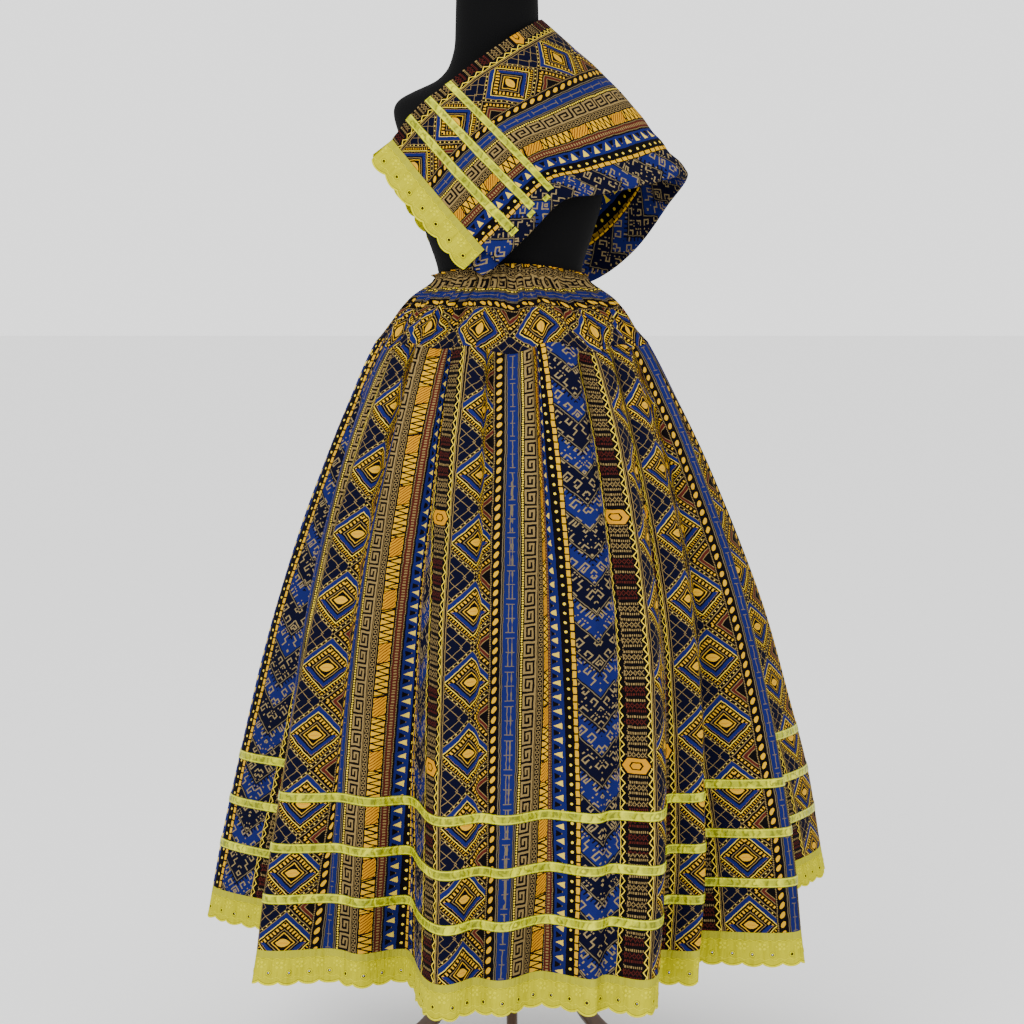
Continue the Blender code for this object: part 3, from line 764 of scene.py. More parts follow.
def lace_pattern(length):
    """Flat points and faces of a scalloped strip with one round eyelet in each repeat.

    Each repeat is drawn as rings from the eyelet's circle out to the edge of its tile:
    point = circle + (edge - circle) s. The tile's lower edge is the scallop.
    """
    repeats = round(length / LACE_REPEAT)
    step = length / repeats
    side, level = 7, 10
    down = np.linspace(0.0, 1.0, side + 1)[:-1] * (LACE_DEPTH - SCALLOP)
    along = np.linspace(0.0, 1.0, level + 1)[:-1] * step
    left = np.stack([np.zeros(side), down], axis=1)
    low = np.stack([along, scallop_edge(along, step)], axis=1)
    right = np.stack([np.full(side, step), (LACE_DEPTH - SCALLOP) - down], axis=1)
    top = np.stack([step - along, np.zeros(level)], axis=1)
    edge = np.vstack([left, low, right, top])
    middle = np.array([step / 2, EYELET_DROP])
    circle = middle + unit(edge - middle) * EYELET_RADIUS
    shares = np.array([0.0, 0.04, 0.09, 0.15, 0.28, 0.46, 0.68, 0.88, 1.0])
    tile = circle + (edge - circle) * shares[:, None, None]
    rings, around = tile.shape[:2]
    quads = grid_quads(rings, around, wraps=True)
    shift = np.arange(repeats)[:, None, None] * np.array([step, 0.0])
    flat = (tile.reshape(1, -1, 2) + shift).reshape(-1, 2)
    quads = (quads[None] + (np.arange(repeats) * rings * around)[:, None, None]).reshape(-1, 4)
    _, first, back = np.unique(
        np.round(flat, 7), axis=0, return_index=True, return_inverse=True
    )
    return flat[first], back.ravel()[quads], step


def lace_relief(flat, step):
    """Raised ring round each eyelet and a raised cord along the scallops, as bells."""

    def raised(far, place, half_width, height):
        return height * bell(far - place, half_width)

    x = np.mod(flat[:, 0], step)
    from_eyelet = np.hypot(x - step / 2, flat[:, 1] - EYELET_DROP) - EYELET_RADIUS
    from_edge = scallop_edge(x, step) - flat[:, 1]
    return raised(from_eyelet, *EYELET_RING) + raised(from_edge, *SCALLOP_CORD)


def lace_piece(name, length, surface, finish):
    """Closed strip of lace of this length. surface(run, drop, lift) places it in space."""
    flat, quads, step = lace_pattern(length)
    relief = lace_relief(flat, step)
    outer = surface(flat[:, 0], flat[:, 1], LACE_CLOTH / 2 + relief)
    inner = surface(flat[:, 0], flat[:, 1], -LACE_CLOTH / 2 - relief * 0.3)
    uv = flat_places(flat[:, 0] / step * LACE_REPEAT, flat[:, 1])
    return wall(name, outer, inner, quads, uv, finish)


# Shader maths


def node_maths(operation, swapped=False):
    """A method of Term that adds a Math node of this operation, its inputs swapped or not."""

    def method(term, *others):
        values = (*others, term) if swapped else (term, *others)
        return term.shader.math(operation, *values)

    return method


class Term:
    """A value that varies over a surface. Arithmetic on it adds Math nodes.

    a | b is the larger of two values. bounce(half) is the distance to the nearest whole
    multiple of twice half, and near(middle, half) is 1 within half of middle, else 0.
    """

    def __init__(self, shader, socket):
        self.shader, self.socket = shader, socket

    __add__ = __radd__ = node_maths("ADD")
    __sub__, __rsub__ = node_maths("SUBTRACT"), node_maths("SUBTRACT", swapped=True)
    __mul__ = __rmul__ = node_maths("MULTIPLY")
    __truediv__, __rtruediv__ = node_maths("DIVIDE"), node_maths("DIVIDE", swapped=True)
    __pow__, __rpow__ = node_maths("POWER"), node_maths("POWER", swapped=True)
    __or__ = __ror__ = node_maths("MAXIMUM")
    __lt__, __gt__ = node_maths("LESS_THAN"), node_maths("GREATER_THAN")
    __abs__ = node_maths("ABSOLUTE")
    floor, fract, sine = node_maths("FLOOR"), node_maths("FRACT"), node_maths("SINE")
    bounce, near = node_maths("PINGPONG"), node_maths("COMPARE")


class Shader:
    """A material with one Principled shader, whose nodes come from the add method."""

    def __init__(self, name, **fixed):
        self.material = bpy.data.materials.new(name)
        self.material.use_nodes = True
        self.tree = self.material.node_tree
        self.surface = self.tree.nodes["Principled BSDF"]
        for socket, value in fixed.items():
            self.surface.inputs[socket.replace("_", " ")].default_value = value

    def add(self, kind, settings, inputs):
        """Node of this kind: its settings are made first, then its sockets are filled."""
        node = self.tree.nodes.new(kind)
        for key, value in settings.items():
            if key == "stops":
                self.fill_ramp(node.color_ramp, value)
            else:
                setattr(node, key, value)
        for key, value in inputs.items():
            if isinstance(value, Term):
                self.tree.links.new(value.socket, node.inputs[key])
            else:
                node.inputs[key].default_value = value
        return node

    @staticmethod
    def fill_ramp(ramp, stops):
        """Stops of (place, colour) that hold their colour up to the next stop.

        The places come first, because a ramp keeps its stops in the order of their places.
        """
        ramp.interpolation = "CONSTANT"
        while len(ramp.elements) < len(stops):
            ramp.elements.new(1.0)
        for element, (place, _) in zip(ramp.elements, stops):
            element.position = place
        for element, (_, colour) in zip(ramp.elements, stops):
            element.color = colour

    def out(self, kind, settings, inputs, output=0):
        """One output of a new node, as a term."""
        return Term(self, self.add(kind, settings, inputs).outputs[output])

    def math(self, operation, *values):
        """The result of a Math node on terms and numbers."""
        return self.out("ShaderNodeMath", {"operation": operation}, dict(enumerate(values)))

    def mix(self, factor, first, second):
        """Colour first where factor is 0 and second where it is 1.

        Inputs 6 and 7 and output 2 are the node's sockets for colours.
        """
        inputs = {0: factor, 6: as_rgba(first), 7: as_rgba(second)}
        return self.out("ShaderNodeMix", {"data_type": "RGBA"}, inputs, 2)

    def cloth_place(self):
        """The piece's own flat coordinates in metres, across and along it, as a vector."""
        return self.out("ShaderNodeUVMap", {"uv_map": "cloth"}, {})

    def object_place(self):
        """The object's coordinates in metres, as a vector."""
        return self.out("ShaderNodeTexCoord", {}, {}, "Object")

    def split(self, vector):
        """The first two parts of a vector."""
        node = self.add("ShaderNodeSeparateXYZ", {}, {0: vector})
        return [Term(self, node.outputs[k]) for k in range(2)]

    def stretched(self, vector, across, along):
        """The vector with its first two parts multiplied, to draw out a noise read there."""
        inputs = {"Vector": vector, "Scale": (across, along, 1.0)}
        return self.out("ShaderNodeMapping", {}, inputs)

    def noise(self, vector, scale, detail=2.0, output="Fac", **more):
        """Noise read at the vector. more holds its other sockets."""
        inputs = {"Vector": vector, "Scale": scale, "Detail": detail, **more}
        return self.out("ShaderNodeTexNoise", {}, inputs, output)

    def bump(self, height, distance, strength=1.0, under=None):
        """Normal of a relief of this height, on top of the normal under it."""
        inputs = {"Height": height, "Distance": distance, "Strength": strength}
        if under is not None:
            inputs["Normal"] = under
        return self.out("ShaderNodeBump", {}, inputs)

    def chart(self, lines, across, along):
        """1 where the chart of # marks is filled, read at whole cells across and along.

        Each line is one number whose binary digits are its cells. A ramp holds the numbers,
        and a digit is the whole part of number / 2 ** cell, taken modulo 2.
        """
        width, height = len(lines[0]), len(lines)
        numbers = [sum(2**k for k, mark in enumerate(line) if mark == "#") for line in lines]
        greys = [(number + 0.5) / 2**width for number in numbers]
        stops = [(k / height, (grey, grey, grey, 1.0)) for k, grey in enumerate(greys)]
        row = ((along / height).fract() * height).floor()
        code = self.out("ShaderNodeValToRGB", {"stops": stops}, {0: (row + 0.5) / height})
        cell = ((across / width).fract() * width).floor()
        digit = (code * 2.0 ** (width - cell)).floor()
        return (digit / 2.0).fract() > 0.25

    def use(self, **links):
        """The material, with these terms linked to its shader's sockets."""
        for socket, term in links.items():
            self.tree.links.new(term.socket, self.surface.inputs[socket.replace("_", " ")])
        return self.material


def as_rgba(colour):
    """A term as it is, or a fixed colour with its alpha."""
    return colour if isinstance(colour, Term) else (*tuple(colour)[:3], 1.0)


def scaled(colour, factor):
    """The colour with each of its parts times the factor."""
    return [factor * part for part in colour]


def weave(across, along, turn):
    """Crossed threads: the product of two sines that turn this many radians a metre."""
    return (across * turn).sine() * (along * turn).sine()


def beads(x, along, half_step, radius):
    """1 inside round beads two half steps apart on the line where x is 0, else 0."""
    return x**2 + along.bounce(half_step) ** 2 < radius**2


def printed_cotton(name, look):
    """Striped print of common geometric bands, drawn on the cloth's flat coordinates."""
    made = Shader(name, Roughness=0.9, Specular_IOR_Level=0.05)
    place = made.cloth_place()
    across, along = made.split(place)
    du, dv = made.split(made.noise(place, 90.0, 2.0, "Color"))
    blur = 0.0030
    u, v = across + (du - 0.5) * blur, along + (dv - 0.5) * blur
    colour = draw_bands(made, (u / REPEAT).fract() * REPEAT, v, look)
    shade = made.noise(place, 5.0, 3.0)
    colour = made.mix((shade - 0.42) * 0.6, colour, look.dark)
    wear = made.noise(place, 300.0, 2.0)
    colour = made.mix((wear - 0.45) * 0.22, colour, look.dark)
    soft = made.noise(place, 22.0, 3.0)
    normal = made.bump(soft, 0.0035, 0.5)
    normal = made.bump(weave(across, along, 1800.0), 0.0001, 0.3, under=normal)
    return made.use(Base_Color=colour, Normal=normal)


def draw_bands(made, s, v, look):
    """Colour of the print at s across the repeat and v along it, from each band's painter."""
    colour = look.dark
    for name, paint in BAND_PAINTERS.items():
        start, end = BANDS[name]
        middle, half = (start + end) / 2, (end - start) / 2
        colour = made.mix(s.near(middle, half), colour, paint(made, s - middle, v, look))
    return colour


def comb_band(made, x, v, look):
    """Comb teeth and a lattice of small diamonds between two zigzags, with cut lozenges.

    A lozenge is where the larger of two distances, a diamond's and a bar's, is under 1.
    """
    reach, cell, line, chart_length = 0.0143, 0.0013, 0.0017, 0.0238
    lozenge_place, lozenge_half_step = 0.276, 0.185
    side = abs(x)
    zigzag = abs(side - 0.0160 - v.bounce(0.0070) * 0.72) < 0.00075
    comb = made.chart(COMB_CHART, (x + reach) / cell, v / line) * (side < reach)
    along = (v - lozenge_place).bounce(lozenge_half_step)
    woven = along.near(0.092, 0.034) * ((v / chart_length).fract() > 0.25)
    colour = made.mix(comb, look.dark, look.tan)
    colour = made.mix(woven * comb, colour, look.rust)
    colour = made.mix(zigzag | side.near(0.0222, 0.0004), colour, look.cream)
    lozenge = (side / 0.0190 + along / 0.0300) | (along / 0.0110)
    colour = made.mix(lozenge < 1.14, colour, look.dark)
    colour = made.mix(lozenge < 1.0, colour, look.orange)
    return made.mix(lozenge.near(0.45, 0.07), colour, look.dark)


def rail_band(made, x, v, look):
    """Two thin rails."""
    return made.mix(abs(x).near(0.0016, 0.0005), look.dark, look.tan)


def diamond_band(made, x, v, look):
    """Nested diamonds: |x| plus the distance along gives the ring, and the ring its colour.

    Blue fills one ring on one half of a diamond and stitches the other. The corners on
    one side carry on as nested rings, those on the other as a slanting grid.
    """
    half_step = 0.052
    along = v.bounce(half_step)
    d = abs(x) + along
    q = abs(x) - along
    rings = (
        # outer distance of each ring, colour
        (0.0138, look.dark),
        (0.0156, look.gold),
        (0.0192, look.dark),
        (0.0206, look.tan),
        (0.0240, look.dark),
        (0.0310, look.gold),
        (0.0350, look.dark),
        (0.0366, look.cream),
        (0.0450, look.dark),
        (0.0464, look.tan),
        (0.0518, look.dark),
        (0.0534, look.tan),
        (0.0576, look.dark),
        (0.0630, look.gold),
        (0.0668, look.dark),
        (0.0682, look.tan),
        (0.0736, look.rust),
        (0.0750, look.tan),
        (0.0870, look.dark),
    )
    reach = rings[-1][0]
    starts = [0.0] + [far for far, _ in rings[:-1]]
    stops = [(start / reach, as_rgba(shade)) for start, (_, shade) in zip(starts, rings)]
    colour = made.out("ShaderNodeValToRGB", {"stops": stops}, {0: d / reach})
    ahead = (v / (2 * half_step)).fract() < 0.5
    in_ring = d.near(0.0275, 0.0035)
    teeth = (q * 130.0).fract() < 0.55
    colour = made.mix(teeth * (in_ring | d.near(0.0603, 0.0027)), colour, look.dark)
    colour = made.mix(in_ring * ahead, colour, look.blue)
    edging = d.near(0.0408, 0.0024) * ((q * 170.0).fract() < 0.30)
    colour = made.mix(edging, colour, look.gold)
    colour = made.mix(d.near(0.0408, 0.0042) * (1.0 - ahead), colour, look.blue)
    colour = made.mix(beads(d - 0.0491, q, 0.0055, 0.0015), colour, look.cream)
    leaf = along + x * x * 62.0
    colour = made.mix(leaf < 0.0062, colour, look.gold)
    colour = made.mix((along < 0.0007) * (abs(x) < 0.0062), colour, look.orange)
    nested = ((d - 0.0500) / 0.0150).fract().near(0.06, 0.038)
    slanting = (q / 0.0230).fract().near(0.5, 0.024)
    corner = (d > 0.0500) * (x < -0.002)
    return made.mix(corner, colour, made.mix(nested | slanting, look.navy, look.tan))


def oval_band(made, x, v, look):
    """Leaning ovals beside a row of fine beads."""
    lean = (v + x * 0.8).bounce(0.0072)
    oval = ((x - 0.0012) / 0.0036) ** 2 + (lean / 0.0043) ** 2 < 1.0
    colour = made.mix(oval, look.dark, look.gold)
    return made.mix(beads(x + 0.0058, v, 0.0013, 0.0009), colour, look.tan)


def blue_stripe_band(made, x, v, look):
    """Blue stripe with pale edges, and strokes down its middle between pairs of ticks."""
    side = abs(x)
    half_step, gap = 0.0250, 0.0040
    along = v.bounce(half_step)
    edges = side.near(0.0098, 0.0006) | side.near(0.0074, 0.0004)
    strokes = side.near(0.0, 0.0006) * (along > gap)
    ticks = (along.near(gap, 0.0006) | along.near(half_step, 0.0006)) * (side < 0.0034)
    colour = made.mix(side < 0.0066, look.dark, look.blue)
    return made.mix(edges | strokes | ticks, colour, look.grey_tan)


def bead_band(made, x, v, look):
    """One row of small pale beads."""
    return made.mix(beads(x, v, 0.0019, 0.0013), look.dark, look.cream)


def key_band(made, x, v, look):
    """Key meander, seven cells wide."""
    start, end = BANDS["key"]
    cell, line = (end - start) / 7.6, 0.0032
    reach = 3.5 * cell
    key = made.chart(KEY_CHART, (x + reach) / cell, v / line) * (abs(x) < reach)
    return made.mix(key, look.dark, look.tan)


def link_band(made, x, v, look):
    """Chain of round links between two lines."""
    far = (x**2 + v.bounce(0.0036) ** 2) ** 0.5
    chain = abs(x).near(0.0042, 0.0004) | far.near(0.0023, 0.0006)
    return made.mix(chain, look.dark, look.tan)


def block_band(made, x, v, look):
    """Dark zigzag on gold between rails, with a leaning striped block every 82 mm."""
    lean = (v + x * 0.25).bounce(0.041)
    block = lean < 0.0150
    stripes = ((v * 0.8 + x * 0.7) * 260.0).fract() < 0.32
    stroke = abs(v.bounce(0.0050) - (x + 0.0088) * 0.28) < 0.00115
    ground = made.mix(abs(x) < 0.0086, look.dark, look.gold)
    inked = made.mix(stroke, ground, look.dark)
    filled = made.mix(stripes, look.orange, look.rust)
    inked = made.mix(block * (abs(x) < 0.0080), inked, filled)
    rim = lean.near(0.0150, 0.0009) | lean.near(0.0185, 0.0005)
    return made.mix(rim | (abs(x) > 0.0090), inked, look.dark)


def brown_band(made, x, v, look):
    """Rust stripe with fine dashes at its sides and dots down its middle."""
    side = abs(x)
    dashes = side.near(0.0056, 0.0007) * (v.bounce(0.0013) < 0.0008)
    dots = (side < 0.0022) * (v.bounce(0.0022) < 0.0011)
    colour = made.mix(side < 0.0045, look.dark, look.rust)
    return made.mix(dashes | dots, colour, look.tan)


def triangle_band(made, x, v, look):
    """Pale triangles on blue, and slit dark ones between them that point the other way."""
    half_step = 0.0105
    along = v.bounce(half_step)
    tooth = (along < (x + 0.0078) * 0.40 - 0.0006) * (x < 0.0056)
    counter = ((half_step - along) < (0.0068 - x) * 0.44 - 0.0012) * (x > -0.0066)
    slit = abs(x - 0.0020) < 0.0005
    colour = made.mix(counter, look.blue, look.dark)
    colour = made.mix(tooth, colour, look.cream)
    colour = made.mix(counter * slit, colour, look.tan)
    return made.mix(abs(x) > 0.0098, colour, look.dark)


def dot_band(made, x, v, look):
    """One row of wide-set pale dots."""
    return made.mix(beads(x, v, 0.0070, 0.0021), look.dark, look.cream)


def brick_band(made, x, v, look):
    """One row of gold bricks."""
    brick = (abs(x) < 0.0026) * (v.bounce(0.0058) < 0.0046)
    return made.mix(brick, look.brown, look.gold)


def field_band(made, x, v, look):
    """Angular hooks and bars on slanting blue and dark stripes that meet in the middle."""
    side = abs(x)
    p, q = v + side, v - side
    cell = 0.0029
    stripe = (p / 0.084).fract()
    marks = made.chart(FIELD_CHART, p / cell, q / cell)
    bars = stripe.near(0.52, 0.030) | (stripe < 0.060)
    rims = stripe.near(0.52, 0.012) | stripe.near(0.03, 0.012)
    thin = ((q * 110.0).fract() < 0.35) * stripe.near(0.12, 0.05)
    ground = made.mix(stripe.near(0.28, 0.20), look.navy, look.blue)
    ground = made.mix(thin, ground, look.dark)
    ground = made.mix(marks, ground, look.field_mark)
    return made.mix(rims, made.mix(bars, ground, look.dark), look.grey_tan)


# Each painter gives a band's colour at x from its middle and v along the cloth
BAND_PAINTERS = {
    "comb": comb_band,
    "rails": rail_band,
    "diamonds": diamond_band,
    "ovals": oval_band,
    "blue_stripe": blue_stripe_band,
    "beads": bead_band,
    "key": key_band,
    "links": link_band,
    "blocks": block_band,
    "brown": brown_band,
    "triangles": triangle_band,
    "dots": dot_band,
    "bricks": brick_band,
    "field": field_band,
}


def satin(name, look):
    """Woven satin: fine lengthwise threads, soft cross puckers and a broken sheen, which is
    painted as lighter patches and edge highlights; painted shade darkens the puckers.
    """
    made = Shader(name, Specular_IOR_Level=0.15)
    place = made.cloth_place()
    across, along = made.split(place)
    patches = made.noise(place, 60.0, 2.0)
    broad = made.noise(place, 22.0, 2.0)
    pucker = (along * 430.0 + (patches - 0.5) * 20.0).sine()
    # painted sheen: where the two noises are high, the colour is lightened to the painted sheen
    # colour
    light = made.mix((broad + patches - 0.98) * 4.0, look.ribbon, look.ribbon_painted_sheen)
    # painted shade: one side of each cross pucker is darkened
    colour = made.mix((pucker * 0.5 + 0.5) ** 4 * 0.75, light, look.ribbon_shade_and_dark_edges)
    side = abs(across - RIBBON_PATTERN / 2)
    # painted highlight: a thin lighter line near each edge; the outermost strip of each edge is
    # darker
    colour = made.mix(side.near(0.0048, 0.0008) * 0.7, colour, look.ribbon_painted_sheen)
    colour = made.mix((side > 0.0058) * 0.7, colour, look.ribbon_shade_and_dark_edges)
    thread = (across * 9000.0).sine()
    normal = made.bump(pucker + patches * 2.5, 0.0008, 0.8)
    normal = made.bump(thread, 0.00008, 0.3, under=normal)
    return made.use(Base_Color=colour, Normal=normal, Roughness=0.26 + patches * 0.2)


def eyelet_lace(name, look):
    """Plain weave with stitched rings, flowers of raised dots and a stitched edge, with painted
    shade in vertical streaks down the folds, in outlines round the rings and above the edge,
    and in a dark spot round each eyelet.
    """
    made = Shader(name, Roughness=0.8, Specular_IOR_Level=0.03)
    place = made.cloth_place()
    run, drop = made.split(place)
    x = run.bounce(LACE_REPEAT / 2)
    near_hole = ((LACE_REPEAT / 2 - x) ** 2 + (drop - EYELET_DROP) ** 2) ** 0.5
    ring = near_hole.near(EYELET_RADIUS + 0.0014, 0.0014)
    ring_edge = near_hole.near(EYELET_RADIUS + 0.0031, 0.0004)
    edge = drop + (x / (LACE_REPEAT / 2) * (math.pi / 2)).sine() * -SCALLOP
    rim = edge > LACE_DEPTH - SCALLOP - 0.0028
    flower_y = drop - (EYELET_DROP - 0.012)
    petal = (x - 0.0034) ** 2 + (abs(flower_y) - 0.0034) ** 2 < 0.0022**2
    heart = x**2 + flower_y**2 < 0.0012**2
    leaf_x = x - 0.0088
    long_way, short_way = leaf_x - flower_y * 0.9, flower_y + leaf_x * 0.9
    leaf = (long_way / 0.0028) ** 2 + (short_way / 0.0013) ** 2 < 1.0
    level = drop - (run * (4 * math.pi / LACE_REPEAT)).sine() * 0.0013
    upper_stem = level.near(EYELET_DROP - 0.0205, 0.0006)
    lower_stem = level.near(EYELET_DROP + 0.0072, 0.0006)
    raised = ring | rim | petal | heart | leaf | upper_stem | lower_stem
    stitch = ((run * 0.7 + drop) * 5200.0).sine() * 0.5 + 0.5
    tone = made.noise(place, 30.0, 3.0)
    fold_shade_streaks = made.noise(made.stretched(place, 60.0, 9.0), 2.6, 3.0)
    colour = made.mix(tone, look.lace_dark, look.lace)
    colour = made.mix((drop < 0.011) * 0.5, colour, look.lace_top)
    colour = made.mix((drop > 0.0135) * 0.25, colour, look.lace_light)
    # painted shade: vertical noise streaks darken the lace where its folds would be shaded
    colour = made.mix((fold_shade_streaks - 0.45) * 2.2, colour, look.lace_dark)
    colour = made.mix(raised * (0.55 + stitch * 0.35), colour, look.lace_light)
    outline = ring_edge | (edge - LACE_DEPTH + SCALLOP).near(-0.0031, 0.0005)
    colour = made.mix(outline * 0.55, colour, look.lace_shadow)
    # painted shade: a dark spot round each eyelet darkens the hole as shade would
    colour = made.mix(near_hole < EYELET_RADIUS + 0.0012, colour, look.eyelet_painted_shade)
    normal = made.bump(weave(run, drop, 7000.0), 0.0001, 0.3)
    normal = made.bump(raised * (0.75 + stitch * 0.25), 0.0009, 0.9, under=normal)
    normal = made.bump(fold_shade_streaks, 0.004, 0.7, under=normal)
    return made.use(Base_Color=colour, Normal=normal)


def form_cover(name, look):
    """Black stretch cloth with a fine grain and faint wear."""
    made = Shader(name, Roughness=0.9, Specular_IOR_Level=0.08)
    place = made.object_place()
    tone = made.noise(place, 9.0, 4.0)
    colour = made.mix(tone, look.cover, scaled(look.cover, 1.8))
    normal = made.bump(made.noise(place, 900.0, 1.0), 0.0003, 0.5)
    return made.use(Base_Color=colour, Normal=normal)


def dark_wood(name, look):
    """Stained wood: long streaks along each piece with finer grain over them."""
    made = Shader(name, Coat_Weight=0.25, Coat_Roughness=0.3)
    drawn = made.stretched(made.cloth_place(), 90.0, 9.0)
    grain = made.noise(drawn, 1.0, 6.0, Distortion=0.6)
    streak = made.noise(drawn, 4.0, 3.0)
    colour = made.mix(grain, scaled(look.wood, 0.35), look.wood)
    colour = made.mix((streak > 0.6) * 0.4, colour, scaled(look.wood, 0.25))
    normal = made.bump(streak, 0.0006, 0.4)
    return made.use(Base_Color=colour, Normal=normal, Roughness=0.35 + grain * 0.25)


def pole_paint(name, look):
    """Grey painted tube with a faint orange-peel and rubbed patches."""
    made = Shader(name, Metallic=0.85)
    place = made.object_place()
    patches = made.noise(place, 25.0, 4.0)
    colour = made.mix(patches, look.pole, look.pole_light)
    normal = made.bump(made.noise(place, 500.0, 2.0), 0.0002, 0.3)
    return made.use(Base_Color=colour, Normal=normal, Roughness=0.28 + patches * 0.2)


def finish_of(name, maker):
    """The material of this name, made by maker when it isn't there yet."""
    return bpy.data.materials.get(name) or maker(name, bpy.context.scene.skirt_set)


# Sizes and colours that a user may change


def colour_property(name, value):
    """A colour that a user may change, as red, green and blue."""
    return FloatVectorProperty(
        name=name, description=f"{name} in linear light", subtype="COLOR", size=3,
        min=0.0, max=1.0, default=value,
    )


class SkirtSetSizes(bpy.types.PropertyGroup):
    """Sizes and colours of the skirt, the sash, the dress form and its stand"""

    pleat_depth: FloatProperty(
        name="Pleat depth", description="Depth of the grooves below the yoke seam",
        default=0.012, min=0.0, max=0.014, unit="LENGTH",
    )
    pucker_height: FloatProperty(
        name="Pucker height", description="Height of the small gathers at waist and yoke seam",
        default=0.0022, min=0.0, max=0.003, unit="LENGTH",
    )
    hidden_cloth: FloatProperty(
        name="Hidden cloth", description="Width beside each valley that takes the spare cloth",
        default=0.008, min=0.002, max=0.03, unit="LENGTH",
    )
    ribbon_width: FloatProperty(
        name="Ribbon width", description="Width of the satin ribbons",
        default=0.0142, min=0.008, max=0.016, unit="LENGTH",
    )
    ribbon_pucker: FloatProperty(
        name="Ribbon pucker", description="Height of the puckers between a ribbon's stitches",
        default=0.0006, min=0.0, max=0.0015, unit="LENGTH",
    )
    form_sides: IntProperty(
        name="Form sides", description="Columns round the dress form", default=128, min=32,
        max=256,
    )
    dark: colour_property("Print ground", (0.0019, 0.0012, 0.0016))
    navy: colour_property("Print navy", (0.0012, 0.0015, 0.01))
    blue: colour_property("Print blue", (0.0055, 0.0092, 0.078))
    gold: colour_property("Print gold", (0.53, 0.285, 0.006))
    cream: colour_property("Print cream", (0.66, 0.47, 0.035))
    orange: colour_property("Print orange", (0.46, 0.2, 0.0))
    tan: colour_property("Print tan", (0.19, 0.128, 0.045))
    field_mark: colour_property("Print hooks", (0.19, 0.14, 0.06))
    grey_tan: colour_property("Print grey tan", (0.11, 0.086, 0.05))
    brown: colour_property("Print brown", (0.005, 0.003, 0.002))
    rust: colour_property("Print rust", (0.06, 0.009, 0.006))
    ribbon: colour_property("Ribbon", (0.3, 0.315, 0.0))
    # painted sheen: colour of the ribbons' painted highlights
    ribbon_painted_sheen: colour_property("Ribbon light", (0.6, 0.6, 0.0))
    # painted shade in the ribbons' puckers, and the colour of their darker outer edges
    ribbon_shade_and_dark_edges: colour_property("Ribbon dark", (0.07, 0.08, 0.0))
    lace: colour_property("Lace", (0.38, 0.355, 0.0))
    lace_light: colour_property("Lace stitching", (0.6, 0.56, 0.0))
    lace_top: colour_property("Lace plain part", (0.3, 0.29, 0.03))
    # painted shade: the dark spot painted round each eyelet
    eyelet_painted_shade: colour_property("Eyelet thread", (0.02, 0.008, 0.001))
    lace_shadow: colour_property("Lace eyelet shade", (0.05, 0.042, 0.0))
    lace_dark: colour_property("Lace shade", (0.25, 0.23, 0.0))
    cover: colour_property("Form cover", (0.0012, 0.0012, 0.0013))
    wood: colour_property("Wood", (0.085, 0.036, 0.012))
    pole: colour_property("Pole", (0.09, 0.09, 0.095))
    pole_light: colour_property("Pole rubbed", (0.16, 0.16, 0.165))


# Pieces


def declare_cloth(replaces):
    """Hide the imported part that a cloth piece replaces.
    """
    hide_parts(replaces)


def top_places(lines, columns, on_yoke):
    """Cloth places on the yoke or the casing, whose print runs round the body.

    lines holds the length down to each row. The print is read down from the seam on the
    yoke and up from it on the casing, plus a sag of sines that follows the gathers and
    fades down the yoke to three tenths.
    """
    share = np.arange(columns + 1) / columns
    turn = 2 * np.pi * np.arange(columns + 1) / columns
    sag = 0.0026 * np.sin(YOKE_WAVES * turn + wander(turn)) + 0.0006 * np.sin(88 * turn)
    if on_yoke:
        settled = (lines / lines[-1])[:, None]
        across = TOP_SEAM_PLACE - YOKE_PRINT * settled + sag * (1.0 - 0.7 * settled)
    else:
        across = TOP_SEAM_PLACE + (lines[-1] - lines)[:, None] * CASING_PRINT + sag
    return flat_places(across, share * TOP_PRINT_ROUND)


def hem_lace_surface(first, known, t_known):
    """What places the hem's lace, whose run is measured from the length first.

    known holds the lengths round the hem at the shares t_known. The lace sways by a sine
    that grows with the drop.
    """
    sewn = PANEL_END + SEAM_GAP
    stretch = (LACE_DEPTH - SEAM_GAP) / LACE_DEPTH

    def surface(run, drop, lift):
        t = np.interp(first + run, known, t_known)
        sway = 0.0018 * np.sin(run * 96 + 2 * np.sin(run * 13)) * (drop / LACE_DEPTH)
        return skirt_cloth(t, sewn + drop * stretch, lift + sway)

    return surface


def sash_lace_surface(place, outward):
    """Width of the sash's end at place, and what places the lace that goes on from it.

    The lace is bowed by a sine as the sash is, and sways by a sine that grows with the drop.
    """
    top, low, bulge, down, ahead, out = sash_frame(np.array(place))
    width = float(np.linalg.norm(low - top))

    def surface(run, drop, lift):
        sway = 0.0028 * np.sin(run * 100 + 1.0) * (drop / LACE_DEPTH) ** 1.5
        bow = bulge * np.sin(np.pi * run / width) + lift + sway
        away = outward * (2 * SEAM_GAP + drop)
        return top + down * run[:, None] + out * bow[:, None] + ahead * away[:, None]

    return width, surface


class SKIRT_OT_top(bpy.types.Operator):
    """Build the gathered waist casing and the hip yoke"""

    bl_idname = "skirt_set.top"
    bl_label = "Waist and Yoke"

    def execute(self, context):
        cotton = finish_of("cotton_print", printed_cotton)
        for name, first, last, rows, columns, rests_on in (
            ("skirt_waist_casing", 0.0, CASING_DEPTH, 11, 1500, ["form_torso"]),
            ("skirt_yoke", CASING_DEPTH + SEAM_GAP, YOKE_DEPTH, 26, 1200, ()),
        ):
            t, drop = np.meshgrid(np.arange(columns) / columns, np.linspace(first, last, rows))
            outer, inner = both_sides(skirt_cloth, t, drop)
            middle = skirt_cloth(t, drop)
            lines = run_lengths(middle, 0).mean(axis=1)
            uv = top_places(lines, columns, name == "skirt_yoke")
            piece = grid_wall(name + "_cloth", outer, inner, uv, cotton, wraps=True)
            declare_cloth(name)
        return {"FINISHED"}


